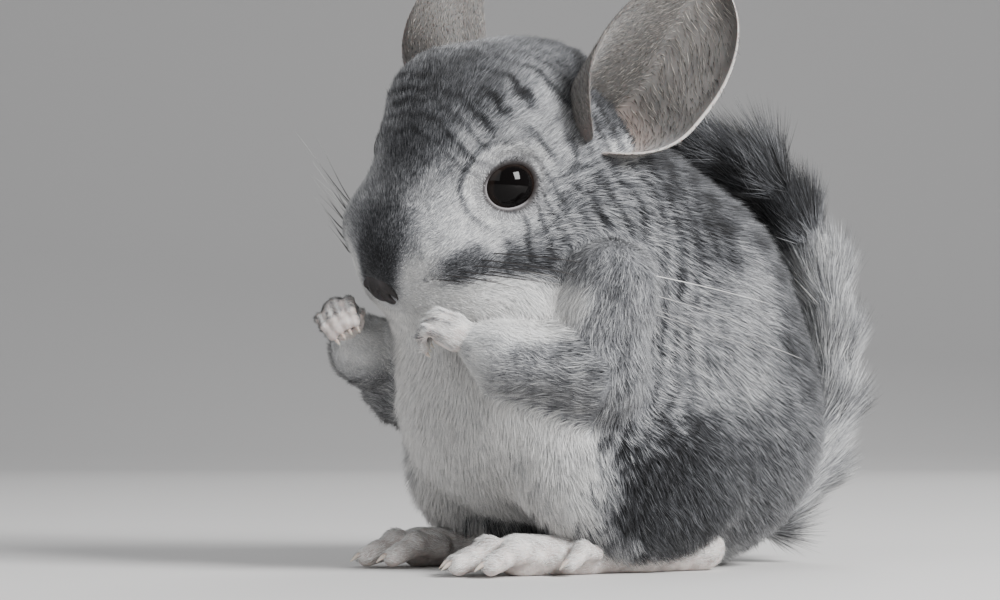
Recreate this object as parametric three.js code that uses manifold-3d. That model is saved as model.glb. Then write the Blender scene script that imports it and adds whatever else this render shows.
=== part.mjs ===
// A standard grey chinchilla, life size, sitting hunched on its hind feet and rump.
// Its forepaws are held up near the mouth and its tail is curled up along its back.
// Millimetres, +Z up. The animal faces -Y, its left side is +X, and it sits on z = 0.
// The body is modelled whole, as a smooth union of named masses, and parted with thin cuts.

import * as THREE from 'three';
import { mergeVertices } from 'three/addons/utils/BufferGeometryUtils.js';
import Module from 'manifold-3d';

const wasm = await Module();
wasm.setup();

// Driving dimensions

const GAP = 0.3;
const BOX_MIDDLE = [0.24, 1.73];

// Every mass is an ellipsoid: its centre, its half lengths, its turn in degrees about X, Y and Z,
// and the width over which it melts into the masses before it.
const TRUNK_MASSES = {
  rump: { centre: [0, 20, 32.3], radii: [38, 33, 33.5], blend: 10 },
  back: { centre: [0, 9, 56], radii: [36, 37, 36], turn: [15, 0, 0], blend: 14 },
  shoulders: { centre: [1, -10, 78], radii: [29, 29, 25], blend: 12 },
  belly: { centre: [0, -17, 36], radii: [34, 30, 26], blend: 12 },
  chest: { centre: [0, -26, 56], radii: [28, 24, 26], blend: 12 },
  thigh_left: { centre: [25, -7, 24], radii: [16, 28, 23], turn: [0, 0, -12], blend: 5 },
  thigh_right: { centre: [-25, -9, 24], radii: [16.5, 30, 23], turn: [0, 0, 12], blend: 5 },
};

// The head has a frame of its own: X forward, Y to its left, Z up, from midway between the eyes.
const HEAD_ORIGIN = [4.8, -42.3, 88.5];
const HEAD_YAW = 12;
const HEAD_NOD = 28;
const HEAD_ROLL = 19;
const NECK_BLEND = 8;
const HEAD_MASSES = {
  cranium: { centre: [-16, 0, 2], radii: [28, 23.2, 19.5], blend: 6 },
  nape: { centre: [-32, 0, -6], radii: [20, 20, 18], blend: 8 },
  bridge: { centre: [5, 0, -3], radii: [20, 15, 12.5], turn: [0, 36, 0], blend: 6 },
  snout: { centre: [16, 0, -14], radii: [10.5, 11, 10.5], blend: 5 },
  pad_left: { centre: [13.5, 9, -10.5], radii: [9, 9, 9], blend: 5 },
  pad_right: { centre: [13.5, -9, -10.5], radii: [9, 9, 9], blend: 5 },
  lip_left: { centre: [16.5, 5, -20], radii: [7.5, 7, 8], blend: 4 },
  lip_right: { centre: [16.5, -5, -20], radii: [7.5, 7, 8], blend: 4 },
  cheek_left: { centre: [-6, 10.5, -12], radii: [21, 12.5, 14], blend: 6 },
  cheek_right: { centre: [-6, -10.5, -12], radii: [21, 12.5, 14], blend: 6 },
  chin: { centre: [9, 0, -25], radii: [9, 7.5, 5.5], blend: 4 },
  temple_left: { centre: [-12, 12.5, 9.5], radii: [13, 9, 10], blend: 5 },
  temple_right: { centre: [-12, -12.5, 9.5], radii: [13, 9, 10], blend: 5 },
  brow_left: { centre: [-1, 11.5, 5], radii: [9, 5.5, 6], blend: 3 },
  brow_right: { centre: [-1, -11.5, 5], radii: [9, 5.5, 6], blend: 3 },
};

// The cut behind the ears and jaw that parts head from neck, in the head's frame.
const NAPE_CUT_POINT = [-46, 0, 8];
const NAPE_CUT_NORMAL = [0.857, 0, 0.514];
const NECK_REGION = { centre: [-2, -2, 98], radii: [36, 26, 30] };
const THIGH_REGION = { centre: [32, -3, 20], radii: [18, 28, 27] };

const EYE_CENTRE = [-2, 14.9, -1];
const EYE_RADIUS = 6.8;
const SOCKET_GROWTH = 0.4;
const EYE_AXIS = [0.4, 0.86, 0.28];
const LID_RING_RADIUS = 6.1;
const LID_RADIUS = 1.3;
const LID_DEPTH = 3.3;
const LID_SIDES = 5;
const LID_STEPS = 14;

const NOSE_CENTRE = [25, 0, -16.3];
const NOSE_RADII = [2.8, 4.2, 3];
const NOSE_FACETS = [12, 8];
const NOSTRIL_CENTRE = [26.9, 2.9, -17.3];
const NOSTRIL_RADII = [1.5, 1, 1.3];
const NOSTRIL_FACETS = [8, 6];
const MOUTH_AIMS = [[10.3, 9.5, -23.3], [16, 6, -25.2], [20.3, 2.6, -24.9], [22.3, 0, -23.5]];
const LIP_GROOVE_RADII = [0.7, 0.9, 0.7];
const LIP_GROOVE_SIDES = 6;
const LIP_GROOVE_STEPS = 16;

// An ear is a cup that opens forward and outward, from a root sunk in the head, in the head's frame.
const EAR_ROOT = [-29.5, 12.3, 0];
const EAR_RISE = [-0.76, 0.74, 0.95];
const EAR_OPENING = [0.27, 0.86, 0.34];
const EAR_LENGTH = 46;
const EAR_HALF_WIDTH = 15;
const EAR_WIDEST_AT = 0.58;
const EAR_ROOT_WIDTH_SHARE = 0.42;
const EAR_TIP_HALF_WIDTH = 0.6;
// Half of the angle that the sheet curls through: little at the tip, nearly a full turn at the root.
const EAR_TIP_CURL = 48;
const EAR_ADDED_CURL = 150;
const EAR_CURL_POWER = 2.2;
const EAR_MOST_CURL = 165;
const EAR_THICKNESS = 1.1;
const EAR_ROWS = 10;
const EAR_COLUMNS = 8;
const EAR_ROW_CROWDING = 1.3;

// Arms: shoulder, elbow, wrist. The right one reaches further forward than the left.
const ARM_LEFT = [[29, -16, 62], [31, -20, 43], [26, -40, 46.5], [23.2, -46.5, 50]];
const ARM_RIGHT = [[-28, -20, 62], [-28, -34, 42], [-18, -51, 49], [-12.5, -57, 53]];
const ARM_RADII = [12, 10.5, 7.5, 4.4];
const ARM_BLEND = 5;
const ARM_MIDDLES = [0.45, 0.6];
const PALM_LENGTH = 7.5;
const PALM_RADII = [3.4, 4.2, 3.6];
const PALM_RISE = [0, 0.2, 0.8];
const FINGER_COUNT = 4;
const FINGER_SPACING = 2.2;
const FINGER_RADII = [1.45, 1.38, 1.09];
const LONGEST_FINGER = 1.4;
const FINGER_STAGGER = 0.6;
// Each joint of a finger: how far past the palm, how far curled in, and its share of the spacing.
const FINGER_JOINTS = [[-1, 0.4, 0.9], [2.6, 1.6, 1.05], [2.7, 4.6, 1], [0.6, 6.6, 0.8]];
const FINGER_CLAW_END = [-1.6, 7.4, 0.75];
const FINGER_CLAW_RADII = [0.6, 0.25];
const PAW_FORWARD = [-0.4, -0.66, 0.52];
const PAW_CURL = [-0.62, 0.05, -0.7];

// Hind feet: long narrow soles flat on the floor, three long toes and a short outer one.
const SOLE = [[23, 12, 5.2], [22.6, -4, 4.8], [22.3, -20, 4.8], [22, -34, 5.2]];
const SOLE_RADII = [5.6, 5.4, 5.4, 6];
const TOES = [
  { across: -5, from: -32, length: 14, radius: 3 },
  { across: -0.6, from: -33, length: 16, radius: 3.2 },
  { across: 4, from: -32, length: 13, radius: 3 },
  { across: 7, from: -17, length: 8.5, radius: 2.4 },
];
const TOE_SPREAD = 1.5;
const TOE_HEIGHTS = [5, 5.6, 2.6];
const TOE_TIP_SHARE = 0.82;
const TOE_CLAW_LENGTH = 2.6;
const TOE_CLAW_RADII = [0.95, 0.4];
const TOE_CLAW_ROOT = [0.3, 0.6];
const TOE_CLAW_POINT = [0.5, -1.2];

// The tail rises from behind the rump and lies up along the back, its brush over the shoulders.
const TAIL_LINE = [
  [5, 44, 9], [4, 55, 21], [4, 61, 35], [4, 62, 50], [5, 58, 66], [5, 50, 80], [6, 40, 89], [6.5, 26, 94],
];
const TAIL_RADII = [7.5, 8, 8.5, 9, 9.5, 10, 11, 10];
const TAIL_BLEND = 6;
const TAIL_CUTS = [0.34, 0.68];
const TAIL_CORE_MIDDLES = [0.17, 0.5, 0.83];
const TAIL_CORE_SHARE = 0.5;
const LOCK_ROWS = 8;
const LOCKS_A_ROW = 5;
const LOCK_LAST_ROOT = 0.93;
const LOCK_LENGTH = 23;
const LOCK_HALF_WIDTH = 5;
const LOCK_HALF_THICKNESS = 1.7;
const LOCK_SECTIONS = [[0, 0.7], [0.42, 1], [0.76, 0.68]];
const LOCK_ROOT_DEPTH_SHARE = 0.4;
const LOCK_BEND_AT = 0.4;
const LOCK_BEND_SHARE = 1.32;
const LOCK_TIP_SHARE = 0.97;
const LAST_LOCK_TIP_SHARE = 0.6;
const LAST_LOCK_REACH_SHARE = 0.8;
const LOCK_SEED = 7;
const LOCK_WAVER = { root: 0.03, turn: 0.4, length: 0.3, tip: 0.12, width: 0.3 };
const LOCK_ROW_SHIFT = 0.5;
const TAIL_NAMES = ['tail_base', 'tail_middle', 'tail_tip'];

// How finely each surface is faceted: the number of times a ball's edges are split

const HEAD_DETAIL = 7;
const TRUNK_DETAIL = 5;
const NECK_DETAIL = 5;
const LIMB_DETAIL = 3;
const TAIL_DETAIL = 3;
const HIDDEN_DETAIL = 5;
const EYE_FACETS = [12, 8];
const REGION_FACETS = [10, 6];

// A tube's ends are rounded by one smaller ring and a point, as shares of its radius there.
const END_RING_REACH = 0.5;
const END_RING_SHARE = 0.6;
const END_POINT_REACH = 0.75;

// Colours of a standard grey coat

const material = (color, roughness) => new THREE.MeshStandardMaterial({ color, roughness, metalness: 0 });
const GREY_COAT = material(0x8d9096, 0.9);
const PALE_COAT = material(0xc9c8c4, 0.9);
const ARM_COAT = material(0x8f949c, 0.9);
const TAIL_COAT = material(0x8a8784, 0.95);
const EAR_SKIN = material(0xa89a96, 0.6);
const PAW_SKIN = material(0xd2c9c0, 0.7);
const EYE_GLOSS = material(0x120b0a, 0.08);

// Frames and distances

const vector = (values) => new THREE.Vector3(...values);
const mirrored = (values) => [-values[0], values[1], values[2]];

function turning(degrees = [0, 0, 0]) {
  const [x, y, z] = degrees.map(THREE.MathUtils.degToRad);
  return new THREE.Matrix4().makeRotationFromEuler(new THREE.Euler(x, y, z, 'ZYX'));
}

const HEAD_FRAME = turning([-HEAD_ROLL, HEAD_NOD, HEAD_YAW - 90]).setPosition(vector(HEAD_ORIGIN));
const WORLD_FRAME = new THREE.Matrix4();
const onHead = (values) => vector(values).applyMatrix4(HEAD_FRAME);
const headSide = (values, side) => [values[0], values[1] * side, values[2]];
const headDirection = (values) => vector(values).transformDirection(HEAD_FRAME);

// A point's rough distance to an ellipsoid, negative inside.
function ellipsoidDistance(point, mass) {
  const local = point.clone().applyMatrix4(mass.inverse);
  const near = local.clone().divide(mass.radii);
  const far = near.clone().divide(mass.radii);
  const scale = near.length();
  return (scale * (scale - 1)) / Math.max(far.length(), 1e-9);
}

function placedMasses(masses, frame) {
  return Object.values(masses).map((mass) => {
    const place = frame.clone().multiply(turning(mass.turn).setPosition(vector(mass.centre)));
    return { inverse: place.invert(), radii: vector(mass.radii), blend: mass.blend ?? 0 };
  });
}

// The smaller of two distances, rounded over a width where they meet.
function smoothLeast(a, b, width) {
  if (width <= 0) return Math.min(a, b);
  const share = THREE.MathUtils.clamp(0.5 + (0.5 * (b - a)) / width, 0, 1);
  return b + (a - b) * share - width * share * (1 - share);
}

function massField(masses, frame) {
  const placed = placedMasses(masses, frame);
  return (point) => placed.reduce(
    (least, mass) => smoothLeast(least, ellipsoidDistance(point, mass), mass.blend),
    1e3,
  );
}

// Distance to a bent limb: round cones from joint to joint, blended at each joint.
function limbField(joints, radii, blend) {
  const points = joints.map(vector);
  return (point) => {
    let least = 1e3;
    for (let i = 0; i < points.length - 1; i += 1) {
      const along = points[i + 1].clone().sub(points[i]);
      const offset = point.clone().sub(points[i]);
      const share = THREE.MathUtils.clamp(offset.dot(along) / along.lengthSq(), 0, 1);
      const radius = THREE.MathUtils.lerp(radii[i], radii[i + 1], share);
      const distance = offset.addScaledVector(along, -share).length() - radius;
      least = smoothLeast(least, distance, blend);
    }
    return least;
  };
}

const trunkField = massField(TRUNK_MASSES, WORLD_FRAME);
const headField = massField(HEAD_MASSES, HEAD_FRAME);
const bodyField = (point) => smoothLeast(trunkField(point), headField(point), NECK_BLEND);

// Solids

function solidOf(geometry) {
  const bare = geometry.clone();
  for (const name of Object.keys(bare.attributes)) {
    if (name !== 'position') bare.deleteAttribute(name);
  }
  const merged = mergeVertices(bare, 1e-4);
  const mesh = new wasm.Mesh({
    numProp: 3,
    vertProperties: new Float32Array(merged.attributes.position.array),
    triVerts: new Uint32Array(merged.index.array),
  });
  return new wasm.Manifold(mesh);
}

function geometryOf(solid) {
  const mesh = solid.getMesh();
  const geometry = new THREE.BufferGeometry();
  geometry.setAttribute('position', new THREE.BufferAttribute(new Float32Array(mesh.vertProperties), 3));
  geometry.setIndex(new THREE.BufferAttribute(new Uint32Array(mesh.triVerts), 1));
  geometry.computeVertexNormals();
  return geometry;
}

function largestPiece(solid) {
  const pieces = solid.decompose();
  return pieces.reduce((best, piece) => (piece.volume() > best.volume() ? piece : best));
}

function joined(solids) {
  return solids.reduce((whole, solid) => whole.add(solid));
}

// How far a ray from a centre goes before it leaves a field: steps outward, then halvings.
const STEP_SHARE = 0.8;
const LEAST_STEP = 0.25;
const HALVINGS = 12;

function reachAlong(field, centre, direction, growth) {
  let inner = 0;
  let outer = 0;
  const point = new THREE.Vector3();
  const depth = (distance) => field(point.copy(centre).addScaledVector(direction, distance)) - growth;
  for (let value = depth(0); value < 0; value = depth(outer)) {
    inner = outer;
    outer += Math.max(-value * STEP_SHARE, LEAST_STEP);
  }
  for (let i = 0; i < HALVINGS; i += 1) {
    const middle = (inner + outer) / 2;
    if (depth(middle) < 0) inner = middle;
    else outer = middle;
  }
  return (inner + outer) / 2;
}

// A closed surface round a centre: a ball whose every point is moved out to the field's edge.
function swell(field, centre, detail, growth = 0) {
  const ball = new THREE.IcosahedronGeometry(1, detail);
  ball.deleteAttribute('normal');
  ball.deleteAttribute('uv');
  const skin = mergeVertices(ball, 1e-5);
  const positions = skin.attributes.position;
  const direction = new THREE.Vector3();
  for (let i = 0; i < positions.count; i += 1) {
    direction.fromBufferAttribute(positions, i).normalize();
    const reach = reachAlong(field, centre, direction, growth);
    positions.setXYZ(i, ...direction.multiplyScalar(reach).add(centre).toArray());
  }
  return solidOf(skin);
}

function ellipsoid(frame, centre, radii, growth, [columns, rows]) {
  const geometry = new THREE.SphereGeometry(1, columns, rows);
  geometry.scale(...radii.map((radius) => radius + growth));
  geometry.applyMatrix4(frame.clone().multiply(new THREE.Matrix4().setPosition(vector(centre))));
  return solidOf(geometry);
}

function above(solid, point, normal, gap = 0) {
  const unit = normal.clone().normalize();
  return solid.trimByPlane(unit.toArray(), point.dot(unit) + gap);
}

const below = (solid, point, normal, gap = 0) => above(solid, point, normal.clone().negate(), gap);
const onFloor = (solid) => solid.trimByPlane([0, 0, 1], 0);

// A closed tapered tube along a curve, rounded at both ends.
function tube(points, radii, sides, steps) {
  const curve = new THREE.CatmullRomCurve3(points);
  const frames = curve.computeFrenetFrames(steps, false);
  const positions = [];
  const ring = (centre, normal, binormal, radius) => {
    for (let k = 0; k < sides; k += 1) {
      const angle = (2 * Math.PI * k) / sides;
      const offset = normal.clone().multiplyScalar(Math.cos(angle) * radius);
      offset.addScaledVector(binormal, Math.sin(angle) * radius);
      positions.push(...offset.add(centre).toArray());
    }
  };
  const radiusAt = (share) => {
    const place = share * (radii.length - 1);
    const low = Math.min(Math.floor(place), radii.length - 2);
    return THREE.MathUtils.lerp(radii[low], radii[low + 1], place - low);
  };
  const first = curve.getPoint(0).addScaledVector(frames.tangents[0], -radii[0] * END_RING_REACH);
  ring(first, frames.normals[0], frames.binormals[0], radii[0] * END_RING_SHARE);
  for (let i = 0; i <= steps; i += 1) {
    ring(curve.getPoint(i / steps), frames.normals[i], frames.binormals[i], radiusAt(i / steps));
  }
  const last = radii[radii.length - 1];
  const end = curve.getPoint(1).addScaledVector(frames.tangents[steps], last * END_RING_REACH);
  ring(end, frames.normals[steps], frames.binormals[steps], last * END_RING_SHARE);
  const rings = steps + 3;
  const index = [];
  for (let i = 0; i < rings - 1; i += 1) {
    for (let k = 0; k < sides; k += 1) {
      const a = i * sides + k;
      const b = i * sides + ((k + 1) % sides);
      index.push(a, b, b + sides, a, b + sides, a + sides);
    }
  }
  const startCap = positions.length / 3;
  const startPoint = curve.getPoint(0).addScaledVector(frames.tangents[0], -radii[0] * END_POINT_REACH);
  const endPoint = curve.getPoint(1).addScaledVector(frames.tangents[steps], last * END_POINT_REACH);
  positions.push(...startPoint.toArray(), ...endPoint.toArray());
  const lastRing = (rings - 1) * sides;
  for (let k = 0; k < sides; k += 1) {
    const next = (k + 1) % sides;
    index.push(startCap, next, k);
    index.push(startCap + 1, lastRing + k, lastRing + next);
  }
  const geometry = new THREE.BufferGeometry();
  geometry.setAttribute('position', new THREE.Float32BufferAttribute(positions, 3));
  geometry.setIndex(index);
  const solid = solidOf(geometry);
  return solid.volume() > 0 ? solid : solidOf(flipped(geometry));
}

function flipped(geometry) {
  const index = Array.from(geometry.index.array);
  for (let i = 0; i < index.length; i += 3) [index[i], index[i + 1]] = [index[i + 1], index[i]];
  return geometry.clone().setIndex(index);
}

// Head, with its sockets, lids, nose, nostrils and the line of the mouth

const HEAD_CENTRE = onHead([-8, 0, -5]);
const napeCutPoint = onHead(NAPE_CUT_POINT);
const napeCutNormal = headDirection(NAPE_CUT_NORMAL);

function onHeadSurface(aim) {
  const direction = onHead(aim).sub(HEAD_CENTRE).normalize();
  return HEAD_CENTRE.clone().addScaledVector(direction, reachAlong(headField, HEAD_CENTRE, direction, 0));
}

function lids(side) {
  const axis = headDirection(headSide(EYE_AXIS, side));
  const ring = new THREE.TorusGeometry(LID_RING_RADIUS, LID_RADIUS, LID_SIDES, LID_STEPS);
  ring.applyQuaternion(new THREE.Quaternion().setFromUnitVectors(new THREE.Vector3(0, 0, 1), axis));
  const place = onHead(headSide(EYE_CENTRE, side)).addScaledVector(axis, LID_DEPTH);
  ring.translate(...place.toArray());
  return solidOf(ring);
}

function mouthGroove() {
  const right = MOUTH_AIMS.map((aim) => headSide(aim, -1));
  const left = MOUTH_AIMS.slice(0, -1).reverse();
  const line = [...right, ...left].map(onHeadSurface);
  return tube(line, LIP_GROOVE_RADII, LIP_GROOVE_SIDES, LIP_GROOVE_STEPS);
}

const eyeball = (side, growth) => ellipsoid(
  HEAD_FRAME, headSide(EYE_CENTRE, side), [EYE_RADIUS, EYE_RADIUS, EYE_RADIUS], growth, EYE_FACETS,
);

function makeHead() {
  let head = above(swell(headField, HEAD_CENTRE, HEAD_DETAIL), napeCutPoint, napeCutNormal, GAP / 2);
  head = head.add(ellipsoid(HEAD_FRAME, NOSE_CENTRE, NOSE_RADII, 0, NOSE_FACETS));
  for (const side of [1, -1]) head = head.add(lids(side));
  head = head.subtract(mouthGroove());
  for (const side of [1, -1]) {
    const nostril = ellipsoid(HEAD_FRAME, headSide(NOSTRIL_CENTRE, side), NOSTRIL_RADII, 0, NOSTRIL_FACETS);
    head = head.subtract(eyeball(side, SOCKET_GROWTH)).subtract(nostril);
  }
  return largestPiece(head);
}

const headGrown = swell(headField, HEAD_CENTRE, HIDDEN_DETAIL, GAP * 3);
const headSpace = above(headGrown, napeCutPoint, napeCutNormal, -GAP / 2);

// Arms and forepaws

function armField(side) {
  return limbField(side > 0 ? ARM_LEFT : ARM_RIGHT, ARM_RADII, ARM_BLEND);
}

function armParts(side, growth) {
  const joints = (side > 0 ? ARM_LEFT : ARM_RIGHT).map(vector);
  const field = armField(side);
  const elbow = joints[1];
  const towardWrist = joints[2].clone().sub(elbow).normalize();
  const bend = towardWrist.sub(joints[0].clone().sub(elbow).normalize());
  const gap = growth > 0 ? -GAP / 2 : GAP / 2;
  const upper = swell(field, joints[0].clone().lerp(elbow, ARM_MIDDLES[0]), LIMB_DETAIL, growth);
  const lower = swell(field, elbow.clone().lerp(joints[2], ARM_MIDDLES[1]), LIMB_DETAIL, growth);
  return {
    upper: below(upper, elbow, bend, gap),
    lower: above(lower, elbow, bend, gap),
    wrist: joints[3],
    wristDirection: joints[3].clone().sub(joints[2]).normalize(),
  };
}

function pawAxes(side) {
  const forward = vector(side > 0 ? PAW_FORWARD : mirrored(PAW_FORWARD)).normalize();
  const curl = vector(side > 0 ? PAW_CURL : mirrored(PAW_CURL));
  curl.addScaledVector(forward, -curl.dot(forward)).normalize();
  const across = forward.clone().cross(curl).multiplyScalar(side);
  return { forward, curl, across };
}

function makePaw(side) {
  const { wrist } = armParts(side, 0);
  const { forward, curl, across } = pawAxes(side);
  const at = (ahead, inward, sideways) => wrist.clone()
    .addScaledVector(forward, ahead)
    .addScaledVector(curl, inward)
    .addScaledVector(across, sideways);
  const palm = PALM_RISE.map((rise, i) => at((PALM_LENGTH * i) / (PALM_RISE.length - 1), rise, 0));
  const pieces = [tube(palm, PALM_RADII, 7, 2)];
  for (let i = 0; i < FINGER_COUNT; i += 1) {
    const sideways = (i - (FINGER_COUNT - 1) / 2) * FINGER_SPACING;
    const knuckle = PALM_LENGTH - Math.abs(i - LONGEST_FINGER) * FINGER_STAGGER;
    const line = FINGER_JOINTS.map(([ahead, inward, share], joint) => {
      const from = joint === 0 ? PALM_LENGTH : knuckle;
      return at(from + ahead, inward, sideways * share);
    });
    pieces.push(tube(line, FINGER_RADII, 5, 3));
    const [ahead, inward, share] = FINGER_CLAW_END;
    const clawEnd = at(knuckle + ahead, inward, sideways * share);
    pieces.push(tube([line[line.length - 1], clawEnd], FINGER_CLAW_RADII, 4, 1));
  }
  return largestPiece(joined(pieces));
}

// Hind feet

function sole(side, growth) {
  const line = SOLE.map(([x, y, z]) => vector([x * side, y, z]));
  return tube(line, SOLE_RADII.map((radius) => radius + growth), 8, 4);
}

function toeLine(toe, side) {
  const x = SOLE[3][0] + toe.across;
  const tipX = SOLE[3][0] + toe.across * TOE_SPREAD;
  const tipY = toe.from - toe.length;
  const joints = [[x, toe.from], [(x + tipX) / 2, (toe.from + tipY) / 2], [tipX, tipY]];
  return joints.map((joint, i) => vector([joint[0] * side, joint[1], TOE_HEIGHTS[i]]));
}

function toeTube(toe, side, growth) {
  const radii = [toe.radius + growth, toe.radius + growth, toe.radius * TOE_TIP_SHARE + growth];
  return tube(toeLine(toe, side), radii, 6, 2);
}

function toeClaw(toe, side) {
  const tip = toeLine(toe, side)[2];
  const root = tip.clone().add(vector([0, -toe.radius * TOE_CLAW_ROOT[0], TOE_CLAW_ROOT[1]]));
  const reach = toe.radius * TOE_CLAW_POINT[0] + TOE_CLAW_LENGTH;
  const point = tip.clone().add(vector([0, -reach, TOE_CLAW_POINT[1]]));
  return tube([root, point], TOE_CLAW_RADII, 5, 1);
}

function makeFoot(side) {
  const pieces = [sole(side, 0)];
  for (const toe of TOES) pieces.push(toeTube(toe, side, 0), toeClaw(toe, side));
  return largestPiece(onFloor(joined(pieces)));
}

const footSpaces = [1, -1].map((side) => sole(side, GAP).add(toeTube(TOES[TOES.length - 1], side, GAP)));

// Ears: each a curled sheet with a rim, wide open towards its tip and nearly closed at its root

function earSheet(side) {
  const root = onHead(headSide(EAR_ROOT, side));
  const rise = headDirection(headSide(EAR_RISE, side));
  const opening = headDirection(headSide(EAR_OPENING, side));
  opening.addScaledVector(rise, -opening.dot(rise)).normalize();
  const across = rise.clone().cross(opening);
  return (along, around, offset) => {
    const tipShare = Math.max(0, (along - EAR_WIDEST_AT) / (1 - EAR_WIDEST_AT));
    const rootShare = Math.min(1, along / EAR_WIDEST_AT);
    const rounding = along > EAR_WIDEST_AT
      ? Math.sqrt(Math.max(0, 1 - tipShare ** 2))
      : THREE.MathUtils.lerp(EAR_ROOT_WIDTH_SHARE, 1, Math.sin((Math.PI / 2) * rootShare));
    const half = Math.max(EAR_HALF_WIDTH * rounding, EAR_TIP_HALF_WIDTH);
    const curl = EAR_TIP_CURL + EAR_ADDED_CURL * (1 - along) ** EAR_CURL_POWER;
    const spread = THREE.MathUtils.degToRad(Math.min(EAR_MOST_CURL, curl));
    const curve = half / Math.sin(Math.min(spread, Math.PI / 2));
    const angle = spread * around;
    return root.clone()
      .addScaledVector(rise, EAR_LENGTH * along)
      .addScaledVector(across, (curve - offset) * Math.sin(angle))
      .addScaledVector(opening, curve - (curve - offset) * Math.cos(angle));
  };
}

function makeEar(side) {
  const sheet = earSheet(side);
  const rows = EAR_ROWS;
  const columns = EAR_COLUMNS;
  const positions = [];
  for (const offset of [-EAR_THICKNESS / 2, EAR_THICKNESS / 2]) {
    for (let i = 0; i <= rows; i += 1) {
      const along = 1 - (1 - i / rows) ** EAR_ROW_CROWDING;
      for (let j = 0; j <= columns; j += 1) {
        positions.push(...sheet(along, (2 * j) / columns - 1, offset).toArray());
      }
    }
  }
  const stride = columns + 1;
  const face = (rows + 1) * stride;
  const index = [];
  const quad = (a, b, c, d) => index.push(a, b, c, a, c, d);
  for (let i = 0; i < rows; i += 1) {
    for (let j = 0; j < columns; j += 1) {
      const a = i * stride + j;
      const corners = [a, a + 1, a + 1 + stride, a + stride];
      quad(...corners);
      const [p, q, r, s] = corners.map((corner) => corner + face);
      index.push(p, r, q, p, s, r);
    }
  }
  for (let i = 0; i < rows; i += 1) {
    const low = i * stride;
    const high = low + columns;
    quad(low, low + stride, low + stride + face, low + face);
    quad(high, high + face, high + stride + face, high + stride);
  }
  for (let j = 0; j < columns; j += 1) {
    const top = rows * stride + j;
    quad(j, j + face, j + 1 + face, j + 1);
    quad(top, top + 1, top + 1 + face, top + face);
  }
  const geometry = new THREE.BufferGeometry();
  geometry.setAttribute('position', new THREE.Float32BufferAttribute(positions, 3));
  geometry.setIndex(index);
  const whole = solidOf(geometry);
  const ear = whole.volume() > 0 ? whole : solidOf(flipped(geometry));
  return largestPiece(ear.subtract(headSpace).subtract(neckSpace));
}

// Trunk, neck and thighs

const TRUNK_CENTRE = new THREE.Vector3(0, 2, 46);
const NECK_CENTRE = new THREE.Vector3(-2, 0, 95);
const regionOf = ({ centre: [x, y, z], radii }, side, growth) => ellipsoid(
  WORLD_FRAME, [x * side, y, z], radii, growth, REGION_FACETS,
);

const neckWhole = swell(bodyField, NECK_CENTRE, NECK_DETAIL);
const neckSpace = swell(bodyField, NECK_CENTRE, NECK_DETAIL, GAP * 1.5);
const trunkWhole = onFloor(swell(trunkField, TRUNK_CENTRE, TRUNK_DETAIL));
const trunkSpace = swell(trunkField, TRUNK_CENTRE, TRUNK_DETAIL, GAP * 1.5);
const armSpaces = [1, -1].flatMap((side) => {
  const { upper, lower } = armParts(side, GAP);
  return [upper, lower];
});

function makeNeck() {
  let neck = neckWhole.intersect(regionOf(NECK_REGION, 1, 0));
  neck = below(neck, napeCutPoint, napeCutNormal, GAP / 2);
  return largestPiece(neck.subtract(joined(armSpaces)));
}

function makeTorso() {
  let torso = trunkWhole.subtract(below(regionOf(NECK_REGION, 1, GAP), napeCutPoint, napeCutNormal, -GAP));
  torso = torso.subtract(headSpace).subtract(joined(armSpaces)).subtract(joined(footSpaces));
  for (const side of [1, -1]) torso = torso.subtract(regionOf(THIGH_REGION, side, GAP));
  return largestPiece(torso);
}

function makeThigh(side) {
  const thigh = trunkWhole.intersect(regionOf(THIGH_REGION, side, 0));
  return largestPiece(thigh.subtract(joined(footSpaces)).subtract(joined(armSpaces)));
}

// Tail: a core with flat tapered locks that lie back over one another, parted in three lengths

const tailCurve = new THREE.CatmullRomCurve3(TAIL_LINE.map(vector));
const tailCoreField = limbField(TAIL_LINE, TAIL_RADII.map((radius) => radius * TAIL_CORE_SHARE), TAIL_BLEND);

function tailRadiusAt(share) {
  const place = THREE.MathUtils.clamp(share, 0, 1) * (TAIL_RADII.length - 1);
  const low = Math.min(Math.floor(place), TAIL_RADII.length - 2);
  return THREE.MathUtils.lerp(TAIL_RADII[low], TAIL_RADII[low + 1], place - low);
}

// A repeatable stream of numbers from 0 to 1, for the locks' small differences.
const DRAW_MULTIPLIER = 1664525;
const DRAW_STEP = 1013904223;
const DRAW_RANGE = 2 ** 32;

function seededDraws(seed) {
  let state = seed;
  return () => {
    state = (state * DRAW_MULTIPLIER + DRAW_STEP) % DRAW_RANGE;
    return state / DRAW_RANGE;
  };
}

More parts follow.
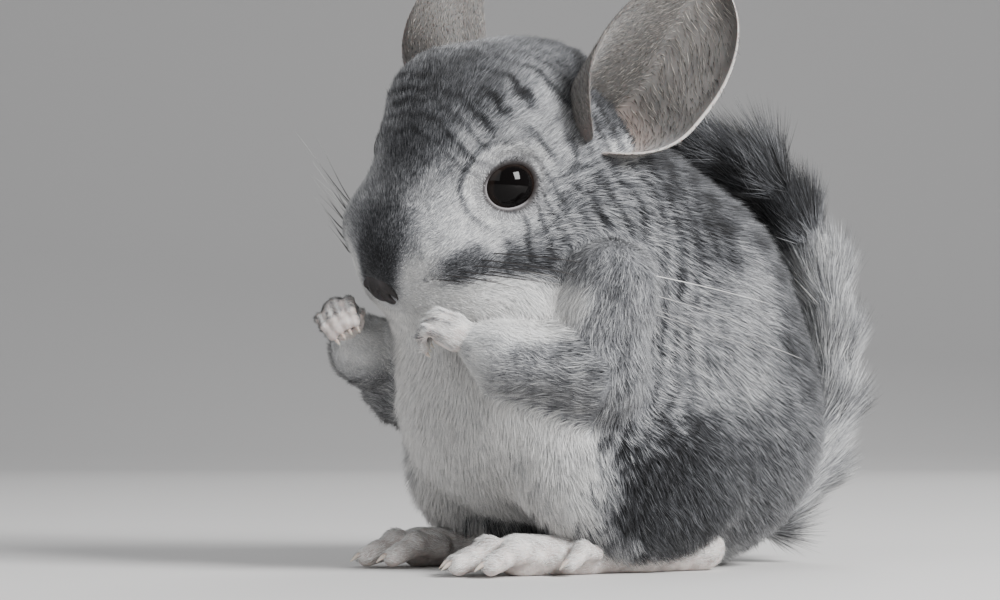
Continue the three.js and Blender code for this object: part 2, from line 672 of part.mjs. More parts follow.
// One flat lock: four-sided, widest before its middle, drawn out to a point.
function lock(root, bend, tip, across, width, thickness) {
  const spine = new THREE.QuadraticBezierCurve3(root, bend, tip);
  const positions = [];
  for (const [share, fullness] of LOCK_SECTIONS) {
    const centre = spine.getPoint(share);
    const raised = spine.getTangent(share).cross(across).normalize();
    for (const [sideways, up] of [[1, 0], [0, 1], [-1, 0], [0, -1]]) {
      const corner = centre.clone().addScaledVector(across, sideways * width * fullness);
      positions.push(...corner.addScaledVector(raised, up * thickness * fullness).toArray());
    }
  }
  positions.push(...tip.toArray());
  const point = LOCK_SECTIONS.length * 4;
  const index = [0, 1, 2, 0, 2, 3];
  for (let ring = 0; ring < LOCK_SECTIONS.length; ring += 1) {
    for (let k = 0; k < 4; k += 1) {
      const a = ring * 4 + k;
      const b = ring * 4 + ((k + 1) % 4);
      if (ring === LOCK_SECTIONS.length - 1) index.push(a, point, b);
      else index.push(a, b + 4, b, a, a + 4, b + 4);
    }
  }
  const geometry = new THREE.BufferGeometry();
  geometry.setAttribute('position', new THREE.Float32BufferAttribute(positions, 3));
  geometry.setIndex(index);
  const solid = solidOf(geometry);
  return solid.volume() > 0 ? solid : solidOf(flipped(geometry));
}

function tailLocks() {
  const draw = seededDraws(LOCK_SEED);
  const wavering = (amount) => (draw() - 0.5) * amount;
  const length = tailCurve.getLength();
  const locks = [];
  for (let row = 0; row < LOCK_ROWS; row += 1) {
    const from = (row / (LOCK_ROWS - 1)) * LOCK_LAST_ROOT;
    for (let k = 0; k < LOCKS_A_ROW; k += 1) {
      const share = THREE.MathUtils.clamp(from + wavering(LOCK_WAVER.root), 0, LOCK_LAST_ROOT);
      const tangent = tailCurve.getTangentAt(share);
      const sideways = new THREE.Vector3(1, 0, 0).addScaledVector(tangent, -tangent.x).normalize();
      const away = tangent.clone().cross(sideways);
      const turned = k + LOCK_ROW_SHIFT * (row % 2) + wavering(LOCK_WAVER.turn);
      const angle = (turned / LOCKS_A_ROW) * 2 * Math.PI;
      const outward = sideways.clone().multiplyScalar(Math.cos(angle)).addScaledVector(away, Math.sin(angle));
      const across = tangent.clone().cross(outward).normalize();
      const reach = LOCK_LENGTH * (1 + wavering(LOCK_WAVER.length));
      const end = Math.min(share + reach / length, 1);
      const beyond = Math.max(share + reach / length - 1, 0) * length * LAST_LOCK_REACH_SHARE;
      const endRadius = tailRadiusAt(end) * (1 + wavering(LOCK_WAVER.tip));
      const rootDepth = tailRadiusAt(share) * TAIL_CORE_SHARE * LOCK_ROOT_DEPTH_SHARE;
      const root = tailCurve.getPointAt(share).addScaledVector(outward, rootDepth);
      const tip = tailCurve.getPointAt(end).addScaledVector(tailCurve.getTangentAt(end), beyond);
      tip.addScaledVector(outward, endRadius * (beyond > 0 ? LAST_LOCK_TIP_SHARE : LOCK_TIP_SHARE));
      const bend = tailCurve.getPointAt(share + (end - share) * LOCK_BEND_AT);
      bend.addScaledVector(outward, tailRadiusAt(share) * LOCK_BEND_SHARE);
      const halfWidth = LOCK_HALF_WIDTH * (1 + wavering(LOCK_WAVER.width));
      locks.push(lock(root, bend, tip, across, halfWidth, LOCK_HALF_THICKNESS));
    }
  }
  return locks;
}

function tailWhole() {
  const middles = TAIL_CORE_MIDDLES.map((share) => tailCurve.getPointAt(share));
  const cores = middles.map((middle) => swell(tailCoreField, middle, TAIL_DETAIL));
  const whole = joined([...cores, ...tailLocks()]);
  return onFloor(whole.subtract(trunkSpace).subtract(neckSpace));
}

const wholeTail = tailWhole();

function makeTailLength(part) {
  const from = part === 0 ? 0 : TAIL_CUTS[part - 1];
  const to = part === TAIL_CUTS.length ? 1 : TAIL_CUTS[part];
  let length = wholeTail;
  if (part > 0) length = above(length, tailCurve.getPointAt(from), tailCurve.getTangentAt(from), GAP / 2);
  if (part < TAIL_CUTS.length) {
    length = below(length, tailCurve.getPointAt(to), tailCurve.getTangentAt(to), GAP / 2);
  }
  return largestPiece(length);
}

// The whole animal

const animal = new THREE.Group();
animal.position.set(-BOX_MIDDLE[0], -BOX_MIDDLE[1], 0);

function addPart(name, solid, coat) {
  const mesh = new THREE.Mesh(geometryOf(solid), coat);
  mesh.name = name;
  animal.add(mesh);
}

addPart('head', makeHead(), GREY_COAT);
addPart('neck', makeNeck(), GREY_COAT);
addPart('torso', makeTorso(), GREY_COAT);
for (const [side, suffix] of [[1, 'l'], [-1, 'r']]) {
  const arm = armParts(side, 0);
  addPart(`thigh_${suffix}`, makeThigh(side), GREY_COAT);
  addPart(`foot_${suffix}`, makeFoot(side), PALE_COAT);
  addPart(`upper_arm_${suffix}`, largestPiece(arm.upper.subtract(headSpace)), ARM_COAT);
  const forearm = largestPiece(below(arm.lower, arm.wrist, arm.wristDirection, GAP / 2));
  addPart(`forearm_${suffix}`, forearm, ARM_COAT);
  addPart(`paw_${suffix}`, above(makePaw(side), arm.wrist, arm.wristDirection, GAP / 2), PAW_SKIN);
  addPart(`ear_${suffix}`, makeEar(side), EAR_SKIN);
  addPart(`eye_${suffix}`, eyeball(side, 0), EYE_GLOSS);
}
TAIL_NAMES.forEach((name, part) => addPart(name, makeTailLength(part), TAIL_COAT));

export default animal;
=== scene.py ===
import math

import bpy
import numpy as np
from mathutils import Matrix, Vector


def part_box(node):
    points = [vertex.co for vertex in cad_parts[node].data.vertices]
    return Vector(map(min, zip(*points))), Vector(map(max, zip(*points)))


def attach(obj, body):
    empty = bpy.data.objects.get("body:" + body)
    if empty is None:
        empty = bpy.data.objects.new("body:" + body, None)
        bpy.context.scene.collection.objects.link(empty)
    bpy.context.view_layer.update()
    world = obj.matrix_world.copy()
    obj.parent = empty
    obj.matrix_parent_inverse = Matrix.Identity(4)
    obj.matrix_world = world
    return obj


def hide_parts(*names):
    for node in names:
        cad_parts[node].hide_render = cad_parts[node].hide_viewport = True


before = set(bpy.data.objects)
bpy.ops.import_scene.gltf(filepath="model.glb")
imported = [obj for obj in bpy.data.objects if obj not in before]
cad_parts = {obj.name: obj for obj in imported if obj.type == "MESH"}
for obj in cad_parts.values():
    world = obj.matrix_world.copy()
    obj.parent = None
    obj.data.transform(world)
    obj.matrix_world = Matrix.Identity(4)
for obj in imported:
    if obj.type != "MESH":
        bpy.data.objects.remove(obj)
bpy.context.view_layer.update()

bl_info = {
    "name": "Sitting chinchilla",
    "version": (1, 0, 0),
    "blender": (4, 5, 0),
    "location": "3D View > Sidebar > Chinchilla",
    "description": "Builds a life-size grey chinchilla with its coat, ears, eyes, feet and whiskers",
    "category": "Add Mesh",
}

MM = 0.001
# The body's own frame, in millimetres, is moved by this to stand on the middle of its footprint.
BODY_SHIFT = np.array([-0.24, -1.73, 0.0])
FLESH_NODES = (
    "head", "neck", "torso", "thigh_l", "thigh_r", "upper_arm_l", "upper_arm_r",
    "forearm_l", "forearm_r", "tail_base", "tail_middle", "tail_tip",
)

# Masses of the trunk: centre, half lengths, turn in degrees, width over which each melts into the rest.
TRUNK = (
    ((0, 20, 32.3), (38, 33, 33.5), (0, 0, 0), 10),
    ((0, 9, 56), (36, 37, 36), (15, 0, 0), 14),
    ((1, -10, 78), (29, 29, 25), (0, 0, 0), 12),
    ((0, -17, 36), (34, 30, 26), (0, 0, 0), 12),
    ((0, -26, 56), (28, 24, 26), (0, 0, 0), 12),
    ((25, -7, 24), (16, 28, 23), (0, 0, -12), 5),
    ((-25, -9, 24), (16.5, 30, 23), (0, 0, 12), 5),
)
# Masses of the head in its own frame, X forward, Y left, Z up, from midway between the eyes.
HEAD_ORIGIN = np.array([4.8, -42.3, 88.5])
HEAD_TURN = (-19, 28, -78)
SKULL = (
    ((-16, 0, 2), (28, 23.2, 19.5), (0, 0, 0), 6),
    ((-32, 0, -6), (20, 20, 18), (0, 0, 0), 8),
    ((5, 0, -3), (20, 15, 12.5), (0, 36, 0), 6),
    ((16, 0, -14), (10.5, 11, 10.5), (0, 0, 0), 5),
    ((13.5, 9, -10.5), (9, 9, 9), (0, 0, 0), 5),
    ((13.5, -9, -10.5), (9, 9, 9), (0, 0, 0), 5),
    ((16.5, 5, -20), (7.5, 7, 8), (0, 0, 0), 4),
    ((16.5, -5, -20), (7.5, 7, 8), (0, 0, 0), 4),
    ((-6, 10.5, -12), (21, 12.5, 14), (0, 0, 0), 6),
    ((-6, -10.5, -12), (21, 12.5, 14), (0, 0, 0), 6),
    ((9, 0, -25), (9, 7.5, 5.5), (0, 0, 0), 4),
    ((-12, 12.5, 9.5), (13, 9, 10), (0, 0, 0), 5),
    ((-12, -12.5, 9.5), (13, 9, 10), (0, 0, 0), 5),
    ((-1, 11.5, 5), (9, 5.5, 6), (0, 0, 0), 3),
    ((-1, -11.5, 5), (9, 5.5, 6), (0, 0, 0), 3),
)
NECK_BLEND = 8
EYE = (-2, 14.9, -1)
EYE_AXIS = (0.4, 0.86, 0.28)
LID_RISE = 1.25
SOCKET_ROOM = 1.5
# How far the skin is drawn in round each eye, so that the lids lie thin over it.
EYE_HOLLOW = 1.1
# Half the width of the opening between the lids.
EYE_OPENING = 5.1
# Each lid's inner rings: degrees inwards from where the skin rises past the lid, and height over the ball.
LID_RINGS = ((6.5, 0.0), (6.3, 0.22), (5.4, 0.45), (3.6, 0.75), (1.2, 1.1))
# Its outer rings, which run out over the face: degrees outwards, and depth under the skin.
LID_SKIRT = ((2.5, -0.08), (7.0, 0.0), (12.0, 0.5))
NOSE_TIP = (27, 0, -17)
# The muzzle's own frame is the head's, nodded further down by this many degrees.
MUZZLE_NOD = 18
NOSE_PAD = (29, 0, -10.6)
MOUTH_LINE = ((28.2, 0, -16.4), (26.2, 3.4, -18.4), (22, 7.3, -20.4), (17, 9.6, -20.6))

ARMS = {
    1: ((29, -16, 62), (31, -20, 43), (26, -40, 46.5), (23.2, -46.5, 50)),
    -1: ((-28, -20, 62), (-28, -34, 42), (-18, -51, 49), (-12.5, -57, 53)),
}
ARM_RADII = (12, 10.5, 7.5, 4.4)
PAW_FORWARD = (-0.4, -0.66, 0.52)
PAW_CURL = (-0.62, 0.05, -0.7)
PALM_LENGTH = 7.5
PALM_RADII = (3.4, 3.0, 3.5, 3.3)
FINGER_GAP = 2.2
FINGER_RADII = (1.35, 1.25, 1.1, 1.05)
THUMB_RADII = (1.1, 0.95, 0.7)
FINGER_CLAW_RADII = (0.55, 0.4, 0.08)
SOLE = ((23, 12, 5.2), (22.6, -4, 4.8), (22.3, -20, 4.8), (22, -34, 5.2))
SOLE_RADII = (5.4, 5.1, 5.1, 5.7)
FOOT_SLIMMING = 1.45
TOES = ((-5, -32, 13.5, 2.8), (-0.6, -33, 15.5, 3.0), (4, -32, 12.5, 2.8), (6.4, -19, 8, 2.0))
TOE_SPREAD = 1.5
TOE_CLAW_RADII = (0.85, 0.6, 0.1)
TAIL = (
    (5, 44, 9), (4, 55, 21), (4, 61, 35), (4, 62, 50), (5, 58, 66), (5, 50, 80), (6, 40, 89), (6.5, 26, 94),
)
TAIL_RADII = (7.5, 8, 8.5, 9, 9.5, 10, 11, 10)

WHISKER_ROWS = 6
WHISKER_COLUMNS = 6
# Each side's whiskers: side, where they sweep to in the muzzle's frame, and their share of the full length.
WHISKER_SWEEPS = ((1, (-0.54, 0.62, -0.68), 0.97), (-1, (-0.4, 0.9, 0.1), 0.42))

EAR_ROOT = (-29.5, 12.3, 0)
EAR_RISE = (-0.76, 0.74, 0.95)
EAR_OPENING = (0.27, 0.86, 0.34)
EAR_LENGTH = 46
EAR_HALF_WIDTH = 15
EAR_WIDEST_AT = 0.58
EAR_THICKNESS = 0.95

SIDES = ((1, "l"), (-1, "r"))
# Half the width of a tuft's patch on the OFBake UV map.
PATCH_HALF = 0.0015
TUFT_POINTS = 4
LOWEST_HAIR = 0.15
# Beyond any point of the animal, for bands of the coat that are open on one side.
FAR = 99


# Small vector sums on arrays of points

def unit(vectors):
    vectors = np.asarray(vectors, float)
    return vectors / np.maximum(np.linalg.norm(vectors, axis=-1, keepdims=True), 1e-9)


def turning(degrees):
    x, y, z = np.radians(degrees)
    about_x = np.array([[1, 0, 0], [0, math.cos(x), -math.sin(x)], [0, math.sin(x), math.cos(x)]])
    about_y = np.array([[math.cos(y), 0, math.sin(y)], [0, 1, 0], [-math.sin(y), 0, math.cos(y)]])
    about_z = np.array([[math.cos(z), -math.sin(z), 0], [math.sin(z), math.cos(z), 0], [0, 0, 1]])
    return about_z @ about_y @ about_x


HEAD_FRAME = turning(HEAD_TURN)


def from_head(point):
    return np.asarray(point, float) @ HEAD_FRAME.T + HEAD_ORIGIN


def to_head(points):
    return (np.asarray(points, float) - HEAD_ORIGIN) @ HEAD_FRAME


def to_muzzle(points):
    return to_head(points) @ turning((0, MUZZLE_NOD, 0))


def from_muzzle(points):
    return from_head(np.asarray(points, float) @ turning((0, MUZZLE_NOD, 0)).T)


def head_side(values, side):
    return np.array([values[0], values[1] * side, values[2]], float)


def smooth_step(low, high, value):
    share = np.clip((value - low) / (high - low), 0, 1)
    return share * share * (3 - 2 * share)


def smooth_least(a, b, width):
    share = np.clip(0.5 + 0.5 * (b - a) / width, 0, 1)
    return b + (a - b) * share - width * share * (1 - share)


def waves(points, wavelength, seed, count=7):
    """A smooth, repeatable wavering over space, about -1 to 1."""
    draws = np.random.default_rng(seed)
    directions = unit(draws.normal(size=(count, 3))) * draws.uniform(0.7, 1.4, (count, 1))
    phases = draws.uniform(0, 2 * np.pi, count)
    return np.sin(points @ directions.T * (2 * np.pi / wavelength) + phases).sum(-1) / math.sqrt(count)


# Rough distances to the animal's outer surface, negative inside, in millimetres

def ellipsoid(points, centre, radii, turn):
    local = (points - np.array(centre, float)) @ turning(turn)
    radii = np.array(radii, float)
    near = np.sqrt(((local / radii) ** 2).sum(-1))
    far = np.sqrt(((local / radii ** 2) ** 2).sum(-1))
    return near * (near - 1) / np.maximum(far, 1e-9)


def masses(points, table):
    least = None
    for centre, radii, turn, width in table:
        distance = ellipsoid(points, centre, radii, turn)
        least = distance if least is None else smooth_least(least, distance, width)
    return least


def limb(points, joints, radii, width):
    least = None
    for k in range(len(joints) - 1):
        start = np.array(joints[k], float)
        along = np.array(joints[k + 1], float) - start
        share = np.clip((points - start) @ along / (along @ along), 0, 1)
        radius = radii[k] + (radii[k + 1] - radii[k]) * share
        distance = np.sqrt(((points - start - share[..., None] * along) ** 2).sum(-1)) - radius
        least = distance if least is None else smooth_least(least, distance, width)
    return least


def trunk_distance(points):
    return masses(points, TRUNK)


def head_distance(points):
    return masses(to_head(points), SKULL)


def arm_distance(points, side):
    return limb(points, ARMS[side], ARM_RADII, 5)


def tail_distance(points, share=1.0):
    return limb(points, TAIL, [radius * share for radius in TAIL_RADII], 6)


# The coat: how long its hair is and how deep it lies at each place

def from_eye(local):
    """Places seen from the middle of the nearer eye, with both sides laid onto the left one."""
    return np.stack([local[..., 0], np.abs(local[..., 1]), local[..., 2]], -1) - np.array(EYE)


def coat_length(points):
    """Hair length in millimetres: barely any on the nose, dense and long behind the ears."""
    coat = bpy.context.scene.chinchilla_coat
    muzzle_hair, head_hair, body_hair, arm_hair, wrist_hair = (
        length / MM
        for length in (coat.muzzle_hair, coat.head_hair, coat.body_hair, coat.arm_hair, coat.wrist_hair)
    )
    local = to_head(points)
    behind_nose = np.linalg.norm(local - np.array(NOSE_TIP), axis=-1)
    length = muzzle_hair + (head_hair - muzzle_hair) * smooth_step(2, 50, behind_nose)
    beside_eye = np.linalg.norm(from_eye(local), axis=-1) - eye_radius()
    length = length * (1 - 0.5 * smooth_step(6, 1, beside_eye))
    near_head = smooth_step(12, 0, head_distance(points)) * smooth_step(85, 62, behind_nose)
    length = body_hair + (length - body_hair) * near_head
    wrist = np.minimum(
        np.linalg.norm(points - np.array(ARMS[1][3]), axis=-1),
        np.linalg.norm(points - np.array(ARMS[-1][3]), axis=-1),
    )
    arms = np.minimum(arm_distance(points, 1), arm_distance(points, -1))
    on_arm = smooth_step(3, -1, arms) * (1 - smooth_step(4, -4, trunk_distance(points)) * 0.5)
    arm_length = wrist_hair + (arm_hair - wrist_hair) * smooth_step(3, 22, wrist)
    return length + (arm_length - length) * on_arm


def closed_skin_distance(points):
    """The bare skin without eye sockets: the outer surface taken in by the depth of the coat on it."""
    depth = bpy.context.scene.chinchilla_coat.depth_share
    body = smooth_least(trunk_distance(points), head_distance(points), NECK_BLEND)
    arms = np.minimum(arm_distance(points, 1), arm_distance(points, -1))
    whole = smooth_least(body, arms, 3.5) + depth * coat_length(points)
    beside_eye = np.linalg.norm(from_eye(to_head(points)), axis=-1) - eye_radius()
    whole = whole + EYE_HOLLOW * smooth_step(5.0, 1.0, beside_eye)
    return smooth_least(whole, tail_distance(points, 0.48), 4)


def skin_distance(points):
    whole = closed_skin_distance(points)
    for side in (1, -1):
        from_ball = np.linalg.norm(points - from_head(head_side(EYE, side)), axis=-1)
        whole = np.maximum(whole, eye_radius() + SOCKET_ROOM - from_ball)
    return whole


def eye_radius():
    low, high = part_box("eye_l")
    return float(high.x - low.x) / MM / 2


# Meshes

def surface_net(values, corner, step):
    """The surface where a grid of distances passes zero: its points and four-sided faces."""
    inside = values < 0
    nx, ny, nz = values.shape
    total = np.zeros((nx - 1, ny - 1, nz - 1), np.int8)
    corners = [(i, j, k) for i in (0, 1) for j in (0, 1) for k in (0, 1)]
    for i, j, k in corners:
        total += inside[i:nx - 1 + i, j:ny - 1 + j, k:nz - 1 + k]
    active = (total > 0) & (total < 8)
    number = -np.ones(active.shape, np.int64)
    cells = np.argwhere(active)
    number[active] = np.arange(len(cells))
    sums = np.zeros((len(cells), 3))
    counts = np.zeros(len(cells))
    at_corner = {c: values[cells[:, 0] + c[0], cells[:, 1] + c[1], cells[:, 2] + c[2]] for c in corners}
    for first in corners:
        for axis in range(3):
            if first[axis]:
                continue
            second = tuple(1 if k == axis else first[k] for k in range(3))
            a, b = at_corner[first], at_corner[second]
            crossed = (a < 0) != (b < 0)
            place = np.tile(np.array(first, float), (len(cells), 1))
            place[:, axis] += np.where(crossed, a / np.where(crossed, a - b, 1), 0)
            sums[crossed] += place[crossed]
            counts[crossed] += 1
    points = (cells + sums / counts[:, None]) * step + corner
    faces = []
    for axis in range(3):
        ahead = tuple(1 if k == axis else 0 for k in range(3))
        a = inside[:nx - ahead[0], :ny - ahead[1], :nz - ahead[2]]
        b = inside[ahead[0]:, ahead[1]:, ahead[2]:]
        crossing = np.argwhere(a != b)
        u, v = (axis + 1) % 3, (axis + 2) % 3
        whole = (crossing[:, u] > 0) & (crossing[:, v] > 0)
        whole &= (crossing[:, u] < values.shape[u] - 1) & (crossing[:, v] < values.shape[v] - 1)
        crossing = crossing[whole]
        outward = a[crossing[:, 0], crossing[:, 1], crossing[:, 2]]
        ring = []
        for back_u, back_v in ((1, 1), (0, 1), (0, 0), (1, 0)):
            cell = crossing.copy()
            cell[:, u] -= back_u
            cell[:, v] -= back_v
            ring.append(number[cell[:, 0], cell[:, 1], cell[:, 2]])
        ring = np.stack(ring, 1)
        ring[~outward] = ring[~outward][:, ::-1]
        faces.append(ring)
    return points, np.concatenate(faces)


def grid_net(distance, low, high, step):
    axes = [np.arange(a, b + step, step) for a, b in zip(low, high)]
    points = np.stack(np.meshgrid(*axes, indexing="ij"), -1)
    return surface_net(distance(points), np.array(low, float), step)


def new_piece(name, points, faces, sides=4):
    """A mesh object from points in body millimetres and an array of faces with the same number of sides."""
    mesh = bpy.data.meshes.new(name)
    places = (np.asarray(points) + BODY_SHIFT) * MM
    faces = np.asarray(faces, np.int32).reshape(-1, sides)
    mesh.vertices.add(len(places))
    mesh.vertices.foreach_set("co", places.astype(np.float32).ravel())
    mesh.loops.add(faces.size)
    mesh.loops.foreach_set("vertex_index", faces.ravel())
    mesh.polygons.add(len(faces))
    mesh.polygons.foreach_set("loop_start", np.arange(0, faces.size, sides, dtype=np.int32))
    mesh.update(calc_edges=True)
    mesh.polygons.foreach_set("use_smooth", np.full(len(faces), True))
    piece = bpy.data.objects.new(name, mesh)
    bpy.context.scene.collection.objects.link(piece)
    return piece


def give(piece, name, values):
    attribute = piece.data.attributes.new(name, "FLOAT", "POINT")
    attribute.data.foreach_set("value", np.asarray(values, np.float32))


def finish_piece(piece, material, nodes=()):
    piece.data.materials.append(material)
    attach(piece, "root")
    if nodes:
        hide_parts(*nodes)
    return piece


def point_normals(points, faces):
    a, b, c = (points[faces[:, k]] for k in (0, 1, 2))
    across = np.cross(b - a, c - a)
    if faces.shape[1] == 4:
        across = np.cross(points[faces[:, 2]] - a, points[faces[:, 3]] - b)
    normals = np.zeros_like(points)
    for k in range(faces.shape[1]):
        np.add.at(normals, faces[:, k], across)
    return unit(normals)


def relaxed(points, faces, rounds):
    """Evens out a net's small steps by moving each point towards its neighbours."""
    for _ in range(rounds):
        sums = np.zeros_like(points)
        counts = np.zeros(len(points))
        middle = points[faces].mean(1)
        for k in range(faces.shape[1]):
            np.add.at(sums, faces[:, k], middle)
            np.add.at(counts, faces[:, k], 1)
        points = points * 0.4 + sums / np.maximum(counts, 1)[:, None] * 0.6
    return points


def ring_faces(rings, columns):
    """Four-sided faces between closed rings of points, each ring joined to the next."""
    faces = []
    for i in range(rings - 1):
        for j in range(columns):
            a, b = i * columns + j, i * columns + (j + 1) % columns
            faces.append((a, a + columns, b + columns, b))
    return np.array(faces)


def tapered_tubes(lines, radii, sides=6):
    """Closed tubes along lines of the same number of points, all in one mesh of triangles."""
    lines = np.asarray(lines, float)
    radii = np.asarray(radii, float)
    count, steps = lines.shape[:2]
    along = unit(np.gradient(lines, axis=1))
    helper = np.where(np.abs(along[..., 2:3]) < 0.9, np.array([0, 0, 1.0]), np.array([0, 1.0, 0]))
    across = unit(np.cross(along, helper))
    up = np.cross(across, along)
    angles = 2 * np.pi * np.arange(sides) / sides
    rings = lines[:, :, None] + radii[..., None, None] * (
        across[:, :, None] * np.cos(angles)[:, None] + up[:, :, None] * np.sin(angles)[:, None]
    )
    points = np.concatenate([rings.reshape(count, -1, 3), lines[:, :1], lines[:, -1:]], 1)
    stride = steps * sides + 2
    faces = []
    for i in range(steps - 1):
        for k in range(sides):
            a, b = i * sides + k, i * sides + (k + 1) % sides
            faces += [(a, b + sides, b), (a, a + sides, b + sides)]
    for k in range(sides):
        following = (k + 1) % sides
        last = (steps - 1) * sides
        faces += [(steps * sides, k, following), (steps * sides + 1, last + following, last + k)]
    faces = np.array(faces)[None] + (np.arange(count) * stride)[:, None, None]
    run = np.concatenate([np.repeat(np.linspace(0, 1, steps), sides), [0, 1]])
    return points.reshape(-1, 3), faces.reshape(-1, 3), np.tile(run, count)


# Markings, with some painted shade: how pale the coat is at each place, from 0 for black to 1 for white

# Each patch: where it lies, head or body; centre; half lengths; tone; strength; softness of its edge.
# A patch with a positive Y on the head, or X on the body, is given to both sides.
PATCHES = (
    ("body", (0, -40, 26), (27, 30, 36), 0.97, 1.0, 0.45),
    ("body", (0, -50, 50), (22, 20, 28), 0.95, 0.9, 0.5),
    ("body", (0, -38, 8), (32, 14, 14), 0.95, 0.9, 0.6),
    ("body", (30, -33, 34), (16, 13, 12), 1.0, 0.95, 0.5),
    ("body", (29, -29, 18), (13, 11, 16), 0.96, 0.95, 0.5),
    ("body", (42, 2, 15), (20, 22, 18), 0.14, 0.95, 0.35),
    ("body", (42, 16, 22), (14, 12, 14), 0.3, 0.6, 0.9),
    ("body", (32, 32, 20), (15, 18, 20), 0.3, 0.85, 0.9),
    ("body", (34, 22, 60), (10, 9, 12), 0.72, 0.6, 0.9),
    ("head", (-16, 40, -6), (16, 12, 12), 0.42, 0.6, 0.9),
    ("head", (-8, 0, 22), (18, 16, 10), 0.14, 0.85, 1.0),
    ("head", (7, 0, 11), (13, 9, 9), 0.2, 0.85, 1.0),
    ("head", (-24, 10, 19), (12, 10, 9), 0.5, 0.6, 0.7),
    ("head", (15, 0, -1), (9, 5, 7), 0.4, 0.8, 0.9),
    ("head", (23, 0, -5), (8, 8, 6.5), 0.22, 0.85, 1.2),
    ("head", (26, 0, -13), (6, 6.8, 7.5), 0.12, 0.9, 1.0),
    ("head", (20, 11, -15), (8, 6, 6), 0.92, 0.9, 0.7),
    ("head", (10, 18, -4), (10, 8, 8), 0.74, 0.8, 0.8),
    ("head", (4, 26, -16), (11, 9, 6), 0.12, 0.85, 1.0),
    # Dark whisker pad: partly the dark whisker roots and partly painted shadow of the whiskers.
    ("head", (15, 17, -12), (7, 6, 4), 0.22, 0.9, 0.9),
    ("head", (8, 0, -27), (13, 10, 6), 0.8, 0.9, 0.5),
    ("head", (-12, 0, -31), (26, 21, 11), 0.97, 1.0, 0.4),
    ("head", (-27, 24, -4), (6, 8, 5), 0.92, 0.9, 0.5),
    ("head", (-25, 22, 13), (2.4, 3.5, 5), 0.08, 0.8, 0.7),
)
RIPPLE_DEPTH = 0.42


def tail_share(points):
    """How far along the tail each point lies, from 0 at its root to 1 at its end."""
    line = np.array(TAIL, float)
    best = np.full(points.shape[:-1], 1e9)
    share = np.zeros(points.shape[:-1])
    for k in range(len(line) - 1):
        step = line[k + 1] - line[k]
        part = np.clip((points - line[k]) @ step / (step @ step), 0, 1)
        distance = np.linalg.norm(points - line[k] - part[..., None] * step, axis=-1)
        nearer = distance < best
        best = np.where(nearer, distance, best)
        share = np.where(nearer, (k + part) / (len(line) - 1), share)
    return share


def whisker_roots():
    """Roots in rows on the left whisker pad, in the muzzle's frame, with their row and column."""
    rows = np.repeat(np.arange(WHISKER_ROWS), WHISKER_COLUMNS)
    columns = np.tile(np.arange(WHISKER_COLUMNS), WHISKER_ROWS)
    count = len(rows)
    roots = np.stack([25 - 2.2 * columns - 0.4 * rows, np.zeros(count), -6.5 - 1.8 * rows], 1)
    inside, outside = np.zeros(count), np.full(count, 30.0)
    for _ in range(24):
        roots[:, 1] = (inside + outside) / 2
        within = head_distance(from_muzzle(roots)) < -0.6
        inside = np.where(within, roots[:, 1], inside)
        outside = np.where(within, outside, roots[:, 1])
    return roots, rows, columns


def tone(points):
    """The coat's tone from its patches, some of it painted shade, before the folds' dark lines."""
    local = to_head(points)
    flank_tone, back_fur_and_shade_tone = 0.6, 0.1
    shade = flank_tone + 0.05 * waves(points, 34, 3)
    wobble = 0.12 * waves(points, 8, 5) + 0.07 * waves(points, 3, 6)
    y, z = points[..., 1], points[..., 2]
    # Dark band along the back: partly the back's own darker fur and partly painted shade, near black.
    back = smooth_step(-9, 9, y + 0.75 * (z - 60) - 14) * smooth_step(16, 42, z)
    back = back * smooth_step(-14, -2, -local[..., 0] - 16)
    shade = shade + (back_fur_and_shade_tone - shade) * back * (0.84 + 0.14 * waves(points, 9, 24))
    streaks = smooth_step(-0.2, 1.2, waves(points * (1, 1, 0.4), 5, 21))
    shade = shade + streaks * (0.18 * back - 0.13 * (1 - back)) * smooth_step(0, 6, head_distance(points))
    for place, centre, radii, target, strength, soft in PATCHES:
        where = local if place == "head" else points
        mirrored = where.copy()
        paired = 1 if place == "head" else 0
        if centre[paired] > 0:
            mirrored[..., paired] = np.abs(mirrored[..., paired])
        reach = np.linalg.norm((mirrored - np.array(centre)) / np.array(radii), axis=-1) + wobble
        share = strength * smooth_step(1 + soft / 2, 1 - soft / 2, reach)
        shade = shade + (target - shade) * share
    on_arm = smooth_step(2.5, -1, np.minimum(arm_distance(points, 1), arm_distance(points, -1)))
    on_arm = on_arm * smooth_step(-4, 3, head_distance(points))
    wrists = [np.linalg.norm(points - np.array(ARMS[side][3]), axis=-1) for side in (1, -1)]
    arm_tone = 0.54 - 0.06 * waves(points, 5, 25) + 0.36 * smooth_step(15, 6, np.minimum(*wrists))
    throat = smooth_step(1.4, 0.8, np.linalg.norm((points - (28, -38, 57)) / (15, 13, 7), axis=-1))
    shade = shade + (arm_tone - shade) * on_arm * (0.9 - 0.85 * throat)
    shade = shade + (1.0 - shade) * throat * 0.95
    shade = eye_surround(local, shade)
    # Dark whisker roots, and painted shade between the lips.
    dot_and_lip_shade_tone = 0.1
    shade = shade + (dot_and_lip_shade_tone - shade) * whisker_dots_and_lip_shade(points)
    near_tail = smooth_step(3.5, -1, tail_distance(points))
    tail_tone = 0.66 - 0.62 * smooth_step(0.64, 0.8, tail_share(points)) + 0.05 * waves(points, 10, 23)
    return np.clip(shade + (tail_tone - shade) * near_tail, 0, 1)


